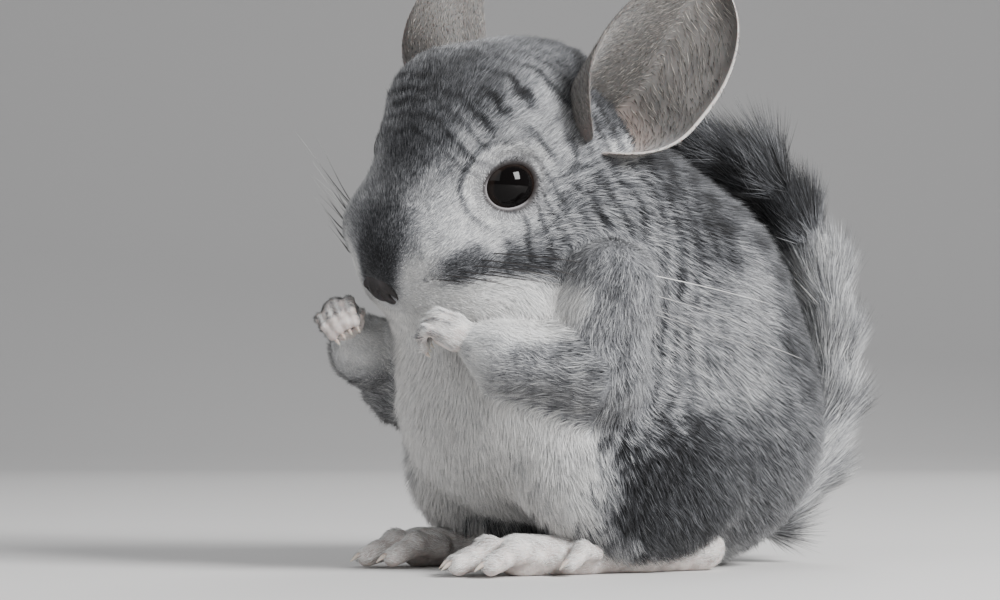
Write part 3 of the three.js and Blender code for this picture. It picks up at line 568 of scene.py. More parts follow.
def eye_surround(local, shade):
    """Pale lids above and below each eye, with painted shade of a crease in front, and a dark rim that is
    partly the dark lid margin and partly painted shadow of the lids, broadest behind.
    """
    place = from_eye(local)
    distance = np.linalg.norm(place, axis=-1)
    ahead, raised = place[..., 0] / distance, place[..., 2] / distance
    above = smooth_step(-0.1, 0.35, raised + 0.1 * ahead)
    below = smooth_step(-0.1, -0.5, raised)
    ragged = distance + 0.5 * waves(place, 5, 41)
    lid = 0.8 * smooth_step(12.6, 11.2, ragged) * above + 0.35 * smooth_step(13.5, 10.0, ragged) * below
    lid_tone, crease_shade_tone, rim_and_lid_shadow_tone = 0.84, 0.15, 0.02
    shade = shade + (lid_tone - shade) * lid
    # Painted shade of a crease in front of the eye.
    crease = smooth_step(0.7, 0.2, np.abs(distance - 12.3))
    crease = crease * smooth_step(0.3, 0.8, 0.8 * ahead + 0.45 * raised)
    shade = shade + (crease_shade_tone - shade) * 0.6 * crease
    # Dark rim: a thin dark lid margin all round, widened behind with painted shadow of the lids.
    behind = smooth_step(0.4, -0.5, ahead - 0.35 * raised)
    outward = place @ unit(EYE_AXIS)
    off_axis = np.sqrt(np.maximum(distance ** 2 - outward ** 2, 0))
    rim = EYE_OPENING + 0.6 + 0.9 * behind
    ring = smooth_step(rim + 0.6, rim, off_axis) * smooth_step(0, 1, outward)
    return shade + (rim_and_lid_shadow_tone - shade) * ring * (0.75 + 0.25 * behind)


def whisker_dots_and_lip_shade(points):
    """Dark points where the whiskers root, and painted shade along the crease between the lips."""
    mirrored = to_muzzle(points)
    mirrored[..., 1] = np.abs(mirrored[..., 1])
    marks = np.zeros(mirrored.shape[:-1])
    near = np.linalg.norm(mirrored - (20, 6, -14), axis=-1) < 16
    close = mirrored[near]
    roots = whisker_roots()[0]
    spots = np.linalg.norm(close[:, None] - roots[None], axis=-1).min(1)
    # Painted shade of the crease between the lips.
    lip_crease_shade = limb(close, MOUTH_LINE, (0.5, 0.6, 0.5, 0.3), 0.5)
    marks[near] = np.maximum(0.75 * smooth_step(0.9, 0.4, spots), 0.9 * smooth_step(0.7, 0.0, lip_crease_shade))
    return marks


def ripples(points):
    """Dark wavering lines where the coat parts on temple, crown and neck, and fine ones behind the eye."""
    local = to_head(points)
    away = np.linalg.norm(local - np.array(NOSE_TIP), axis=-1)
    spacing, fine_spacing = 3.8, 2.5
    phase = away / spacing + 0.32 * waves(points, 24, 11) + 0.1 * waves(points, 7, 12)
    line = smooth_step(0.3, 0.95, np.cos(phase * 2 * np.pi))
    where = smooth_step(28, 40, away) * smooth_step(88, 60, away)
    broken = smooth_step(-1.2, 0.2, waves(points, 16, 13))
    folds = line * where * (0.1 + 0.9 * broken)
    beside = np.abs(local[..., 1])
    folds = folds * (0.4 + 0.6 * smooth_step(4, 13, beside))
    behind_eye = np.stack([local[..., 0] + 15, beside - 24, local[..., 2] + 4], -1) / (10, 9, 7)
    wrinkled = smooth_step(1.1, 0.5, np.linalg.norm(behind_eye, axis=-1))
    fine_phase = local[..., 2] / fine_spacing + 0.35 * waves(points, 8, 14)
    fine = smooth_step(0.2, 0.9, np.cos(fine_phase * 2 * np.pi))
    off_arms = smooth_step(-2, 3, np.minimum(arm_distance(points, 1), arm_distance(points, -1)))
    kept = np.maximum(off_arms, smooth_step(3, -3, head_distance(points)))
    return (folds * (1 - wrinkled) + fine * wrinkled * 0.9) * kept


# Shader sums as plain Python expressions

class Wire:
    """A shader socket that takes part in sums: each operator adds the Math node that it needs."""

    def __init__(self, shader, socket):
        self.shader = shader
        self.socket = socket

    def maths(self, operation, first, second):
        return self.shader.add("ShaderNodeMath", {"operation": operation}, {0: first, 1: second})

    def __add__(self, other):
        return self.maths("ADD", self, other)

    def __radd__(self, other):
        return self.maths("ADD", other, self)

    def __sub__(self, other):
        return self.maths("SUBTRACT", self, other)

    def __rsub__(self, other):
        return self.maths("SUBTRACT", other, self)

    def __mul__(self, other):
        return self.maths("MULTIPLY", self, other)

    def __rmul__(self, other):
        return self.maths("MULTIPLY", other, self)

    def above(self, low, high):
        """0 below low, 1 above high, and a straight run between."""
        settings = {"clamp": True, "interpolation_type": "SMOOTHSTEP"}
        return self.shader.add("ShaderNodeMapRange", settings, {0: self, 1: low, 2: high})


class Shader:
    """A material whose nodes are added by type, settings and sockets."""

    def __init__(self, name):
        self.material = bpy.data.materials.new(name)
        self.material.use_nodes = True
        self.tree = self.material.node_tree
        self.tree.nodes.clear()

    def add(self, kind, settings=None, sockets=None, output=0):
        node = self.tree.nodes.new(kind)
        for name, value in (settings or {}).items():
            if name == "stops":
                self.set_stops(node.color_ramp, value)
            else:
                setattr(node, name, value)
        for name, value in (sockets or {}).items():
            if isinstance(value, Wire):
                self.tree.links.new(value.socket, node.inputs[name])
            else:
                node.inputs[name].default_value = value
        return Wire(self, node.outputs[output])

    @staticmethod
    def set_stops(ramp, stops):
        while len(ramp.elements) < len(stops):
            ramp.elements.new(0.5)
        for element, (place, colour) in zip(ramp.elements, stops):
            element.position = place
            element.color = (*colour, 1)

    def value(self, name):
        return self.add("ShaderNodeAttribute", {"attribute_name": name}, output="Fac")

    def place(self):
        return self.add("ShaderNodeTexCoord", output="Object")

    def noise(self, scale, detail=3, distortion=0.0):
        sockets = {"Vector": self.place(), "Scale": scale, "Detail": detail, "Distortion": distortion}
        return self.add("ShaderNodeTexNoise", None, sockets)

    def blend(self, share, first, second):
        settings = {"data_type": "RGBA", "blend_type": "MIX", "clamp_factor": True}
        return self.add("ShaderNodeMix", settings, {0: share, 6: first, 7: second}, output=2)

    def ramp(self, share, stops):
        return self.add("ShaderNodeValToRGB", {"stops": stops}, {0: share})

    def bump(self, height, strength, distance):
        sockets = {"Height": height, "Strength": strength, "Distance": distance}
        return self.add("ShaderNodeBump", None, sockets)

    def finish(self, settings, sockets):
        """The surface itself: settings that are alike all over it, then what varies."""
        surface = self.tree.nodes.new("ShaderNodeBsdfPrincipled")
        for name, value in settings.items():
            surface.inputs[name].default_value = value
        for name, value in sockets.items():
            self.tree.links.new(value.socket, surface.inputs[name])
        output = self.tree.nodes.new("ShaderNodeOutputMaterial")
        self.tree.links.new(surface.outputs[0], output.inputs[0])
        return self.material


def grey_stops():
    colours = bpy.context.scene.chinchilla_colours
    return (
        (0.0, colours.black), (0.25, colours.slate), (0.5, colours.grey),
        (0.74, colours.silver), (0.98, colours.white),
    )


def coat_material(name, stops=None):
    """Grizzled fur: each hair has a dark root and a pale band, and many have a black tip."""
    shader = Shader(name)
    shade = shader.value("shade")
    along = shader.value("along")
    draw = shader.value("draw")
    speckle = shader.noise(900, 2) - 0.5
    patchy = shader.noise(120, 3, distortion=0.6) - 0.5
    grizzle = (1 - shade.above(0.7, 0.95)) * (draw - 0.5) * 0.42
    roots = (1 - along.above(0.05, 0.5)) * 0.22
    tips = along.above(0.6, 1) * (1 - draw.above(0.2, 0.5)) * (1 - shade.above(0.72, 0.92)) * 0.4
    grain = shader.noise(420, 3) - 0.5
    level = shade + grizzle + speckle * 0.14 + grain * 0.24 + patchy * 0.12 - roots - tips
    colour = shader.ramp(level, stops or grey_stops())
    return shader.finish(
        {"Roughness": 0.8, "Sheen Weight": 0.15, "Sheen Roughness": 0.5, "Specular IOR Level": 0.25},
        {"Base Color": colour},
    )


def skin_material(name):
    shader = Shader(name)
    shade = shader.value("shade")
    hairs = shader.noise(1400, 2, distortion=1.5)
    level = shade * 0.85 + (hairs - 0.5) * 0.35 - 0.04
    return shader.finish(
        {"Roughness": 0.9, "Sheen Weight": 0.2, "Specular IOR Level": 0.2},
        {"Base Color": shader.ramp(level, grey_stops()), "Normal": shader.bump(hairs, 0.5, 0.0006)},
    )


def ear_material():
    """Thin skin: mottled grey inside, darker towards the rim, darker on the front flange partly with painted
    shade, warm low down, with a pale line on the rim.
    """
    colours = bpy.context.scene.chinchilla_colours
    shader = Shader("thin ear skin")
    inner = shader.value("inner")
    flange = shader.value("flange")
    edge = shader.value("edge")
    mottle = shader.noise(220, 4, distortion=0.5)
    veins = shader.noise(60, 3, distortion=2.5)
    base = shader.blend(mottle.above(0.25, 0.75), colours.ear_shadow, colours.ear_skin)
    base = shader.blend(shader.value("low") * 0.75, base, colours.ear_blush)
    base = shader.blend(edge.above(0.15, 0.5) * 0.85, base, colours.ear_dark)
    # Front flange darker: partly its darker furred skin and partly painted shade.
    base = shader.blend(flange * 0.5, base, colours.ear_dark)
    base = shader.blend((1 - inner) * 0.6, base, colours.ear_dark)
    base = shader.blend(shader.value("spot") * 0.8, base, colours.ear_spot)
    base = shader.blend(edge.above(0.82, 0.95) * 0.85, base, colours.ear_rim)
    height = mottle * 0.5 + veins
    return shader.finish(
        {
            "Roughness": 0.6, "Subsurface Weight": 0.12, "Subsurface Scale": 0.002, "Sheen Weight": 0.3,
            "Specular IOR Level": 0.3,
        },
        {"Base Color": base, "Normal": shader.bump(height, 0.25, 0.0006)},
    )


def lid_material():
    """Bare lid rim: dark round the eye, with a pale crescent at its front and lower edge, partly the margin's
    paler skin and partly painted reflection on its wet edge.
    """
    colours = bpy.context.scene.chinchilla_colours
    shader = Shader("lid rim")
    grain = shader.noise(2200, 3)
    base = shader.blend(grain, colours.lid, colours.lid_edge)
    base = shader.blend(shader.value("furred"), base, colours.lid_fur)
    # Pale crescent, partly painted reflection on the wet lid edge.
    colour = shader.blend(shader.value("moist") * 0.9, base, colours.lid_wet_reflection)
    return shader.finish(
        {"Specular IOR Level": 0.2},
        {"Base Color": colour, "Roughness": grain * 0.2 + 0.4, "Normal": shader.bump(grain, 0.3, 0.0003)},
    )


def bare_skin_material(name, pale, dark, roughness):
    shader = Shader(name)
    grain = shader.noise(1800, 3)
    mottle = shader.noise(350, 3)
    colour = shader.blend(mottle.above(0.35, 0.7), dark, pale)
    return shader.finish(
        {"Subsurface Weight": 0.1, "Subsurface Scale": 0.001, "Specular IOR Level": 0.4},
        {
            "Base Color": colour,
            "Roughness": roughness + (grain - 0.5) * 0.2,
            "Normal": shader.bump(grain, 0.4, 0.0003),
        },
    )


def eye_material():
    colours = bpy.context.scene.chinchilla_colours
    shader = Shader("wet dark eye")
    from_axis = shader.value("off_axis")
    fibres = shader.noise(900, 3, distortion=1.0)
    iris = shader.blend(fibres, colours.iris_dark, colours.iris_light)
    colour = shader.blend(from_axis.above(0.42, 0.5), colours.pupil, iris)
    colour = shader.blend(from_axis.above(0.8, 1.0), colour, colours.eye_margin)
    return shader.finish(
        {"Coat Weight": 0.3, "Coat Roughness": 0.03, "Specular IOR Level": 0.0},
        {"Base Color": colour, "Roughness": from_axis * 0.1 + 0.06},
    )


def horn_material():
    colours = bpy.context.scene.chinchilla_colours
    shader = Shader("claw horn")
    along = shader.value("along")
    streaks = shader.noise(700, 3, distortion=2.0)
    base = shader.blend(along.above(0.2, 0.9), colours.claw_root, colours.claw_tip)
    colour = shader.blend(streaks * 0.4, base, colours.claw_tip)
    return shader.finish(
        {"Specular IOR Level": 0.5, "Subsurface Weight": 0.1, "Subsurface Scale": 0.0005},
        {"Base Color": colour, "Roughness": streaks * 0.2 + 0.25},
    )


def whisker_material():
    colours = bpy.context.scene.chinchilla_colours
    shader = Shader("whisker bristle")
    along = shader.value("along")
    draw = shader.value("draw")
    # Pale far part of each whisker: painted highlight of the light caught along it.
    pale = along.above(0.25, 0.62) * (0.4 + draw * 0.6)
    colour = shader.blend(pale, colours.whisker_root, colours.whisker_tip_glint)
    return shader.finish({"Specular IOR Level": 0.5}, {"Base Color": colour, "Roughness": draw * 0.1 + 0.3})


# Hair tufts

SKIN_NET = {}


def scattered(points, faces, density, seed, limit):
    """Evenly spread roots over a net of quads: their face and share of each of its triangles' corners."""
    triangles = np.concatenate([faces[:, [0, 1, 2]], faces[:, [0, 2, 3]]])
    owner = np.tile(np.arange(len(faces)), 2)
    corner = np.concatenate([np.tile([0, 1, 2], (len(faces), 1)), np.tile([0, 2, 3], (len(faces), 1))])
    a, b, c = (points[triangles[:, k]] for k in range(3))
    area = np.linalg.norm(np.cross(b - a, c - a), axis=-1) / 2
    weight = area * density[triangles].mean(1)
    total = weight.sum()
    count = int(min(total, limit))
    draws = np.random.default_rng(seed)
    steps = (np.arange(count) + draws.uniform(0, 1, count)) * total / count
    chosen = np.minimum(np.searchsorted(np.cumsum(weight), steps), len(triangles) - 1)
    u, v = draws.uniform(0, 1, (2, count))
    folded = u + v > 1
    u[folded], v[folded] = 1 - u[folded], 1 - v[folded]
    shares = np.stack([1 - u - v, u, v], 1)
    return triangles[chosen], shares, owner[chosen], corner[chosen], draws


def tuft_mesh(roots, axis, across, up, length, width, droop):
    """Points and faces of closed tufts, each a thin three-sided spike."""
    thick = width * 0.5
    points = []
    for sideways, raised in ((-1, 0), (1, 0), (0, 1)):
        offset = across * (width * sideways / 2)[:, None] + up * (thick * raised)[:, None]
        points.append(roots + offset)
    points.append(roots + axis * length[:, None] - up * (droop * length)[:, None])
    points = np.stack(points, 1)
    faces = np.array([(0, 1, 2), (1, 0, 3), (2, 1, 3), (0, 2, 3)])
    faces = faces[None] + (np.arange(len(roots)) * TUFT_POINTS)[:, None, None]
    return points.reshape(-1, 3), faces.reshape(-1, 3)


def lie(points, normals):
    """Which way the coat lies: away from the nose, along the arms to the paws and along the tail."""
    nose = from_head(NOSE_TIP)
    flow = unit(points - nose)
    body = unit(points - from_head((-12, 0, 2))) + np.array([0, 0.25, -0.35])
    off_head = smooth_step(2, 14, head_distance(points))[:, None]
    flow = flow * (1 - off_head) + unit(body) * off_head
    for side in (1, -1):
        joints = np.array(ARMS[side], float)
        on_arm = smooth_step(3, -2, arm_distance(points, side))[:, None]
        best = np.full(len(points), 1e9)
        along_arm = np.zeros_like(points)
        for k in range(3):
            step = joints[k + 1] - joints[k]
            share = np.clip((points - joints[k]) @ step / (step @ step), 0, 1)
            distance = np.linalg.norm(points - joints[k] - share[:, None] * step, axis=-1)
            nearer = distance < best
            best[nearer] = distance[nearer]
            along_arm[nearer] = unit(step)
        flow = flow * (1 - on_arm) + along_arm * on_arm
    on_tail = smooth_step(2, -2, tail_distance(points, 0.9))[:, None]
    line = np.array(TAIL, float)
    nearest = np.argmin(np.linalg.norm(points[:, None] - line[None], axis=-1), 1)
    along_tail = unit(np.gradient(line, axis=0))[nearest]
    flow = flow * (1 - on_tail) + along_tail * on_tail
    for side in (1, -1):
        from_eye = points - from_head(head_side(EYE, side))
        distance = np.linalg.norm(from_eye, axis=-1, keepdims=True)
        outward = from_eye / distance
        towards = np.minimum((flow * outward).sum(-1, keepdims=True), 0)
        flow = flow + (0.35 - towards) * outward * smooth_step(eye_radius() + 6, eye_radius() + 2, distance)
    flow = flow - (flow * normals).sum(-1, keepdims=True) * normals
    return unit(flow)


def tuft_width(settings, length):
    """A tuft's width: the one that the settings state, or one that grows with its length."""
    if "width" in settings:
        return np.full(len(length), settings["width"])
    return np.maximum(0.075 * length ** 0.6, 0.12)


def coat_piece(name, material, net, chosen, settings, seed):
    """One part of the coat: tufts on the net's points where chosen is above nothing."""
    points, faces, normals, corner_uv = net

    def over_net(value):
        return value(points) if callable(value) else np.broadcast_to(value, len(points))

    length_at = over_net(settings["length"])
    density = settings["cover"] / (0.5 * tuft_width(settings, length_at) * length_at)
    density = np.minimum(density, settings["most"]) * chosen
    corners, shares, owner, face_corner, draws = scattered(points, faces, density, seed, settings["limit"])
    count = len(corners)

    def mixed(values):
        values = np.asarray(values, float)
        if values.ndim == 1:
            return (values[corners] * shares).sum(1)
        return (values[corners] * shares[..., None]).sum(1)

    roots = mixed(points)
    normal = unit(mixed(normals))
    natural = mixed(length_at)
    length = natural * draws.uniform(0.7, 1.2, count)
    width = tuft_width(settings, natural) * draws.uniform(0.7, 1.25, count)
    rippled = settings.get("rippled", 1)
    parted = ripples(roots) * rippled
    flow = mixed(settings["lie"]) if "lie" in settings else lie(roots, normal)
    flow = unit(flow - (flow * normal).sum(-1, keepdims=True) * normal)
    side = np.cross(normal, flow)
    swirl = 0.18 * waves(roots, 7, seed + 1) + 0.15 * waves(roots, 22, seed + 2)
    swirl = swirl + draws.normal(0, 0.14, count)
    flow = unit(flow * np.cos(swirl)[:, None] + side * np.sin(swirl)[:, None])
    raised = 1 + 0.2 * waves(roots, 5, seed + 3) + draws.normal(0, 0.15, count)
    lift = mixed(over_net(settings["lift"])) * raised
    length = length * (1 - 0.3 * parted)
    axis = unit(flow * np.cos(lift)[:, None] + normal * np.sin(lift)[:, None])
    across = unit(np.cross(axis, normal))
    up = unit(np.cross(across, axis))
    droop = settings["droop"] * draws.uniform(0.6, 1.3, count)
    start = roots - normal * (settings["sunk"] * length)[:, None]
    made, triangles = tuft_mesh(start, axis, across, up, length, width, droop)
    made[:, 2] = np.maximum(made[:, 2], LOWEST_HAIR)
    piece = new_piece(name, made, triangles, sides=3)
    seen = roots + axis * (length * 0.75)[:, None]
    shade = mixed(over_net(settings["tone"])) if "tone" in settings else tone(seen)
    if rippled:
        shade = shade - RIPPLE_DEPTH * ripples(seen) * smooth_step(1.0, 0.8, shade)
    give(piece, "shade", np.repeat(shade, TUFT_POINTS))
    give(piece, "along", np.tile((0, 0, 0, 1), count))
    give(piece, "draw", np.repeat(draws.uniform(0, 1, count), TUFT_POINTS))
    soft = np.repeat(unit(normal * 0.8 + draws.normal(0, 0.22, (count, 3))), TUFT_POINTS, 0)
    piece.data.normals_split_custom_set_from_vertices(soft.astype(np.float32))
    root_uv = (corner_uv[owner[:, None], face_corner] * shares[..., None]).sum(1)
    spread = np.array([(-1, -1), (1, -1), (0, 1), (0, 0)]) * PATCH_HALF
    uv = (root_uv[:, None] + spread[None]).reshape(-1, 2)
    layer = piece.data.uv_layers.new(name="OFBake")
    layer.uv.foreach_set("vector", uv[triangles.ravel()].astype(np.float32).ravel())
    return finish_piece(piece, material)


# Sizes and colours that a user would change

def colour_property(name, description, value):
    return bpy.props.FloatVectorProperty(
        name=name, description=description, default=value, subtype="COLOR", size=len(value), min=0, max=1)


def length_property(name, description, millimetres):
    return bpy.props.FloatProperty(
        name=name, description=description, default=millimetres * MM, min=0.05 * MM, max=200 * MM,
        unit="LENGTH", precision=4)


class ChinchillaCoat(bpy.types.PropertyGroup):
    """Lengths of the coat."""
    muzzle_hair: length_property("Muzzle hair", "Hair on the nose's sides", 0.9)
    head_hair: length_property("Head hair", "Hair on crown and cheeks", 2.4)
    body_hair: length_property("Body hair", "Hair on back and flanks", 4.0)
    arm_hair: length_property("Arm hair", "Hair on the upper arms", 3.4)
    wrist_hair: length_property("Wrist hair", "Hair at the wrists", 1.6)
    tail_hair: length_property("Tail hair", "Coarse hair of the tail's brush", 12)
    depth_share: bpy.props.FloatProperty(
        name="Depth share", description="Depth of the coat as a share of its hair's length",
        default=0.48, min=0, max=1, subtype="FACTOR")
    whisker: length_property("Longest whisker", "Length of the longest whiskers", 84)


class ChinchillaColours(bpy.types.PropertyGroup):
    """Colours of the coat and the bare parts."""
    black: colour_property("Black", "Darkest hair", (0.006, 0.006, 0.007))
    slate: colour_property("Slate", "Dark grey hair", (0.05, 0.052, 0.058))
    grey: colour_property("Grey", "Middle grey hair", (0.22, 0.224, 0.235))
    silver: colour_property("Silver", "Pale grey hair", (0.5, 0.505, 0.51))
    white: colour_property("White", "White hair of throat and belly", (0.82, 0.81, 0.79))
    ear_skin: colour_property("Ear", "Inside of the ears", (0.17, 0.16, 0.152, 1))
    ear_shadow: colour_property("Ear mottle", "Darker mottling of the ears", (0.1, 0.094, 0.09, 1))
    ear_dark: colour_property("Ear edge", "Dark skin of the ears' edge and outside", (0.065, 0.06, 0.056, 1))
    ear_blush: colour_property("Ear blush", "Warm skin low in the ears", (0.46, 0.37, 0.33, 1))
    ear_spot: colour_property("Ear spot", "Rusty spot low in the ears", (0.32, 0.15, 0.07, 1))
    ear_rim: colour_property("Ear rim", "Pale line on the ears' rim", (0.55, 0.52, 0.49, 1))
    nose: colour_property("Nose", "Bare skin of the nose", (0.035, 0.03, 0.032, 1))
    nose_dark: colour_property("Nose folds", "Darker folds of the nose", (0.012, 0.01, 0.01, 1))
    paw: colour_property("Paw", "Bare skin of fingers and toes", (0.66, 0.6, 0.57, 1))
    paw_dark: colour_property("Paw folds", "Darker folds of the paws", (0.42, 0.37, 0.35, 1))
    lid: colour_property("Lid rim", "Bare rim of the eyelids", (0.012, 0.009, 0.009, 1))
    lid_edge: colour_property("Lid edge", "Paler outer edge of the eyelids", (0.04, 0.036, 0.036, 1))
    lid_fur: colour_property("Lid skin", "Skin under the hair of the eyelids", (0.2, 0.2, 0.205, 1))
    # Pale lid edge colour, partly painted reflection on the wet margin.
    lid_wet_reflection: colour_property("Moist lid", "Moist pale edge at the front of the eye", (0.3, 0.285, 0.295, 1))
    iris_dark: colour_property("Iris shadow", "Darkest brown of the iris", (0.005, 0.0035, 0.003, 1))
    iris_light: colour_property("Iris", "Lightest brown of the iris", (0.014, 0.0085, 0.0065, 1))
    pupil: colour_property("Pupil", "Middle of the eye", (0.002, 0.0015, 0.0015, 1))
    eye_margin: colour_property("Eye margin", "Dark edge of the eyeball", (0.004, 0.003, 0.003, 1))
    claw_root: colour_property("Claw root", "Claws where they leave the toes", (0.4, 0.3, 0.26, 1))
    claw_tip: colour_property("Claw tip", "Claws at their points", (0.6, 0.55, 0.48, 1))
    ear_hair_dark: colour_property("Ear hair", "Darker hair of the ears", (0.06, 0.054, 0.05))
    ear_hair_pale: colour_property("Pale ear hair", "Paler hair of the ears", (0.4, 0.37, 0.335))
    cream: colour_property("Cream", "Cream hair at the ears' roots", (0.8, 0.74, 0.64))
    whisker_root: colour_property("Whisker root", "Near part of the whiskers", (0.02, 0.018, 0.018, 1))
    # Painted highlight colour of the whiskers' far part.
    whisker_tip_glint: colour_property("Whisker tip", "Pale far part of the whiskers", (0.85, 0.84, 0.82, 1))
    floor: colour_property("Floor", "Plain pale floor", (0.62, 0.61, 0.6, 1))
    floor_cloud: colour_property("Floor cloud", "Faint darker clouds on the floor", (0.5, 0.495, 0.49, 1))


# Operators, one for each piece or group of like pieces

class CHINCHILLA_OT_skin(bpy.types.Operator):
    """Build the skin under the coat, from nose to tail"""
    bl_idname = "chinchilla.skin"
    bl_label = "Skin"

    def execute(self, context):
        step = 1.15
        points, faces = grid_net(skin_distance, (-46, -76, -2), (48, 76, 126), step)
        points = relaxed(points, faces, 2)
        piece = new_piece("skin", points, faces)
        shade = tone(points)
        give(piece, "shade", shade - RIPPLE_DEPTH * ripples(points) * smooth_step(1.0, 0.8, shade))
        bpy.context.view_layer.objects.active = piece
        piece.select_set(True)
        bpy.ops.object.mode_set(mode="EDIT")
        bpy.ops.mesh.select_all(action="SELECT")
        bpy.ops.uv.smart_project(angle_limit=math.radians(66), island_margin=0.002)
        bpy.ops.object.mode_set(mode="OBJECT")
        piece.select_set(False)
        layer = piece.data.uv_layers[0]
        layer.name = "OFBake"
        uv = np.zeros(len(piece.data.loops) * 2, np.float32)
        layer.uv.foreach_get("vector", uv)
        SKIN_NET["body"] = (points, faces, point_normals(points, faces), uv.reshape(-1, 4, 2))
        finish_piece(piece, skin_material("skin under the coat"), FLESH_NODES)
        return {"FINISHED"}


class CHINCHILLA_OT_coat(bpy.types.Operator):
    """Cover the skin with hair tufts, in pieces by region"""
    bl_idname = "chinchilla.coat"
    bl_label = "Coat"

    def execute(self, context):
        net = SKIN_NET["body"]
        points = net[0]
        tail_hair = context.scene.chinchilla_coat.tail_hair / MM
        local = to_head(points)
        head = head_distance(points)
        tail = tail_distance(points, 0.48)
        arms = np.minimum(arm_distance(points, 1), arm_distance(points, -1))
        on_tail = smooth_step(1.2, 0.4, tail)
        ball = np.minimum(
            np.linalg.norm(points - from_head(head_side(EYE, 1)), axis=-1),
            np.linalg.norm(points - from_head(head_side(EYE, -1)), axis=-1),
        )
        bare = smooth_step(eye_radius() + 1.3, eye_radius() + 1.7, ball)
        mirrored = to_muzzle(points)
        nose = np.linalg.norm((mirrored - np.array(NOSE_PAD)) / (5, 4.4, 4.8), axis=-1)
        bare = bare * smooth_step(0.9, 1.05, nose)
        face = (head < 3) & (local[:, 0] > -14) & (on_tail < 0.5)
        crown = (head < 3) & ~face & (on_tail < 0.5)
        arm = (arms < 0.5) & ~face & ~crown & (on_tail < 0.5)
        rest = ~face & ~crown & ~arm & (on_tail < 0.5)
        material = coat_material("grizzled coat")
        plain = {
            "length": coat_length, "cover": 5.5, "most": 24.0, "lift": 0.55, "droop": 0.12, "sunk": 0.06,
            "limit": 31000, "slot": "grey_coat",
        }
        long = {**plain, "lift": 0.66}
        for k, (low, high) in enumerate(((-FAR, -4), (-4, 4), (4, FAR))):
            band = face & (local[:, 1] > low) & (local[:, 1] <= high)
            coat_piece(f"coat_face_{k + 1}", material, net, band * bare, plain, 20 + k)
        for k, (low, high) in enumerate(((-FAR, 0), (0, FAR))):
            band = crown & (local[:, 1] > low) & (local[:, 1] <= high)
            coat_piece(f"coat_crown_{k + 1}", material, net, band * 1.0, {**plain, "limit": 20000}, 30 + k)
        coat_piece("coat_arms", material, net, arm * 1.0, {**plain, "slot": "arm_coat", "limit": 26000}, 40)
        regions = (
            ("coat_back", (points[:, 1] > 12) & (np.abs(points[:, 0]) < 20)),
            ("coat_flank_left", (points[:, 0] >= 20) & (points[:, 1] > -12)),
            ("coat_flank_right", (points[:, 0] <= -20) & (points[:, 1] > -12)),
        )
        left_over = rest.copy()
        for k, (name, region) in enumerate(regions):
            coat_piece(name, material, net, (rest & region) * 1.0, long, 50 + k)
            left_over &= ~region
        for k, (low, high) in enumerate(((-FAR, 0), (0, FAR))):
            band = left_over & (points[:, 0] > low) & (points[:, 0] <= high)
            coat_piece(f"coat_front_{k + 1}", material, net, band * 1.0, {**long, "limit": 27000}, 60 + k)
        brush = {
            **long, "slot": "tail_coat", "rippled": 0,
            "length": tail_hair * (1 + 0.4 * smooth_step(0.66, 0.85, tail_share(points))),
            "width": 0.22, "cover": 18.0, "lift": 0.36, "droop": 0.1, "limit": 27000,
        }
        coat_piece("coat_tail", material, net, on_tail, brush, 70)
        return {"FINISHED"}


class CHINCHILLA_OT_eyes(bpy.types.Operator):
    """Set both dark eyes in their sockets"""
    bl_idname = "chinchilla.eyes"
    bl_label = "Eyes"

    def execute(self, context):
        material = eye_material()
        radius = eye_radius()
        rows, columns = 32, 48
        for side, suffix in SIDES:
            axis = unit(HEAD_FRAME @ head_side(EYE_AXIS, side))
            across = unit(np.cross(axis, (0, 0, 1)))
            up = np.cross(across, axis)
            points, off = [], []
            for i in range(rows + 1):
                polar = np.pi * i / rows
                bulge = 1 + 0.035 * smooth_step(0.75, 0.0, polar)
                for j in range(columns):
                    around = 2 * np.pi * j / columns
                    out = across * math.cos(around) + up * math.sin(around)
                    points.append((axis * math.cos(polar) * bulge + out * math.sin(polar)) * radius)
                    off.append(polar / (np.pi / 2))
            points = np.array(points) + from_head(head_side(EYE, side))
            piece = new_piece(f"eyeball_{suffix}", points, ring_faces(rows + 1, columns))
            give(piece, "off_axis", off)
            finish_piece(piece, material, (f"eye_{suffix}",))
        return {"FINISHED"}


def skin_crossing(low, high, count, place):
    """The values between low and high whose points lie on the skin, for each of count columns."""
    low, high = np.full(count, low), np.full(count, high)
    for _ in range(16):
        middle = (low + high) / 2
        outside = closed_skin_distance(place(middle)) > 0
        low = np.where(outside, low, middle)
        high = np.where(outside, middle, high)
    return middle


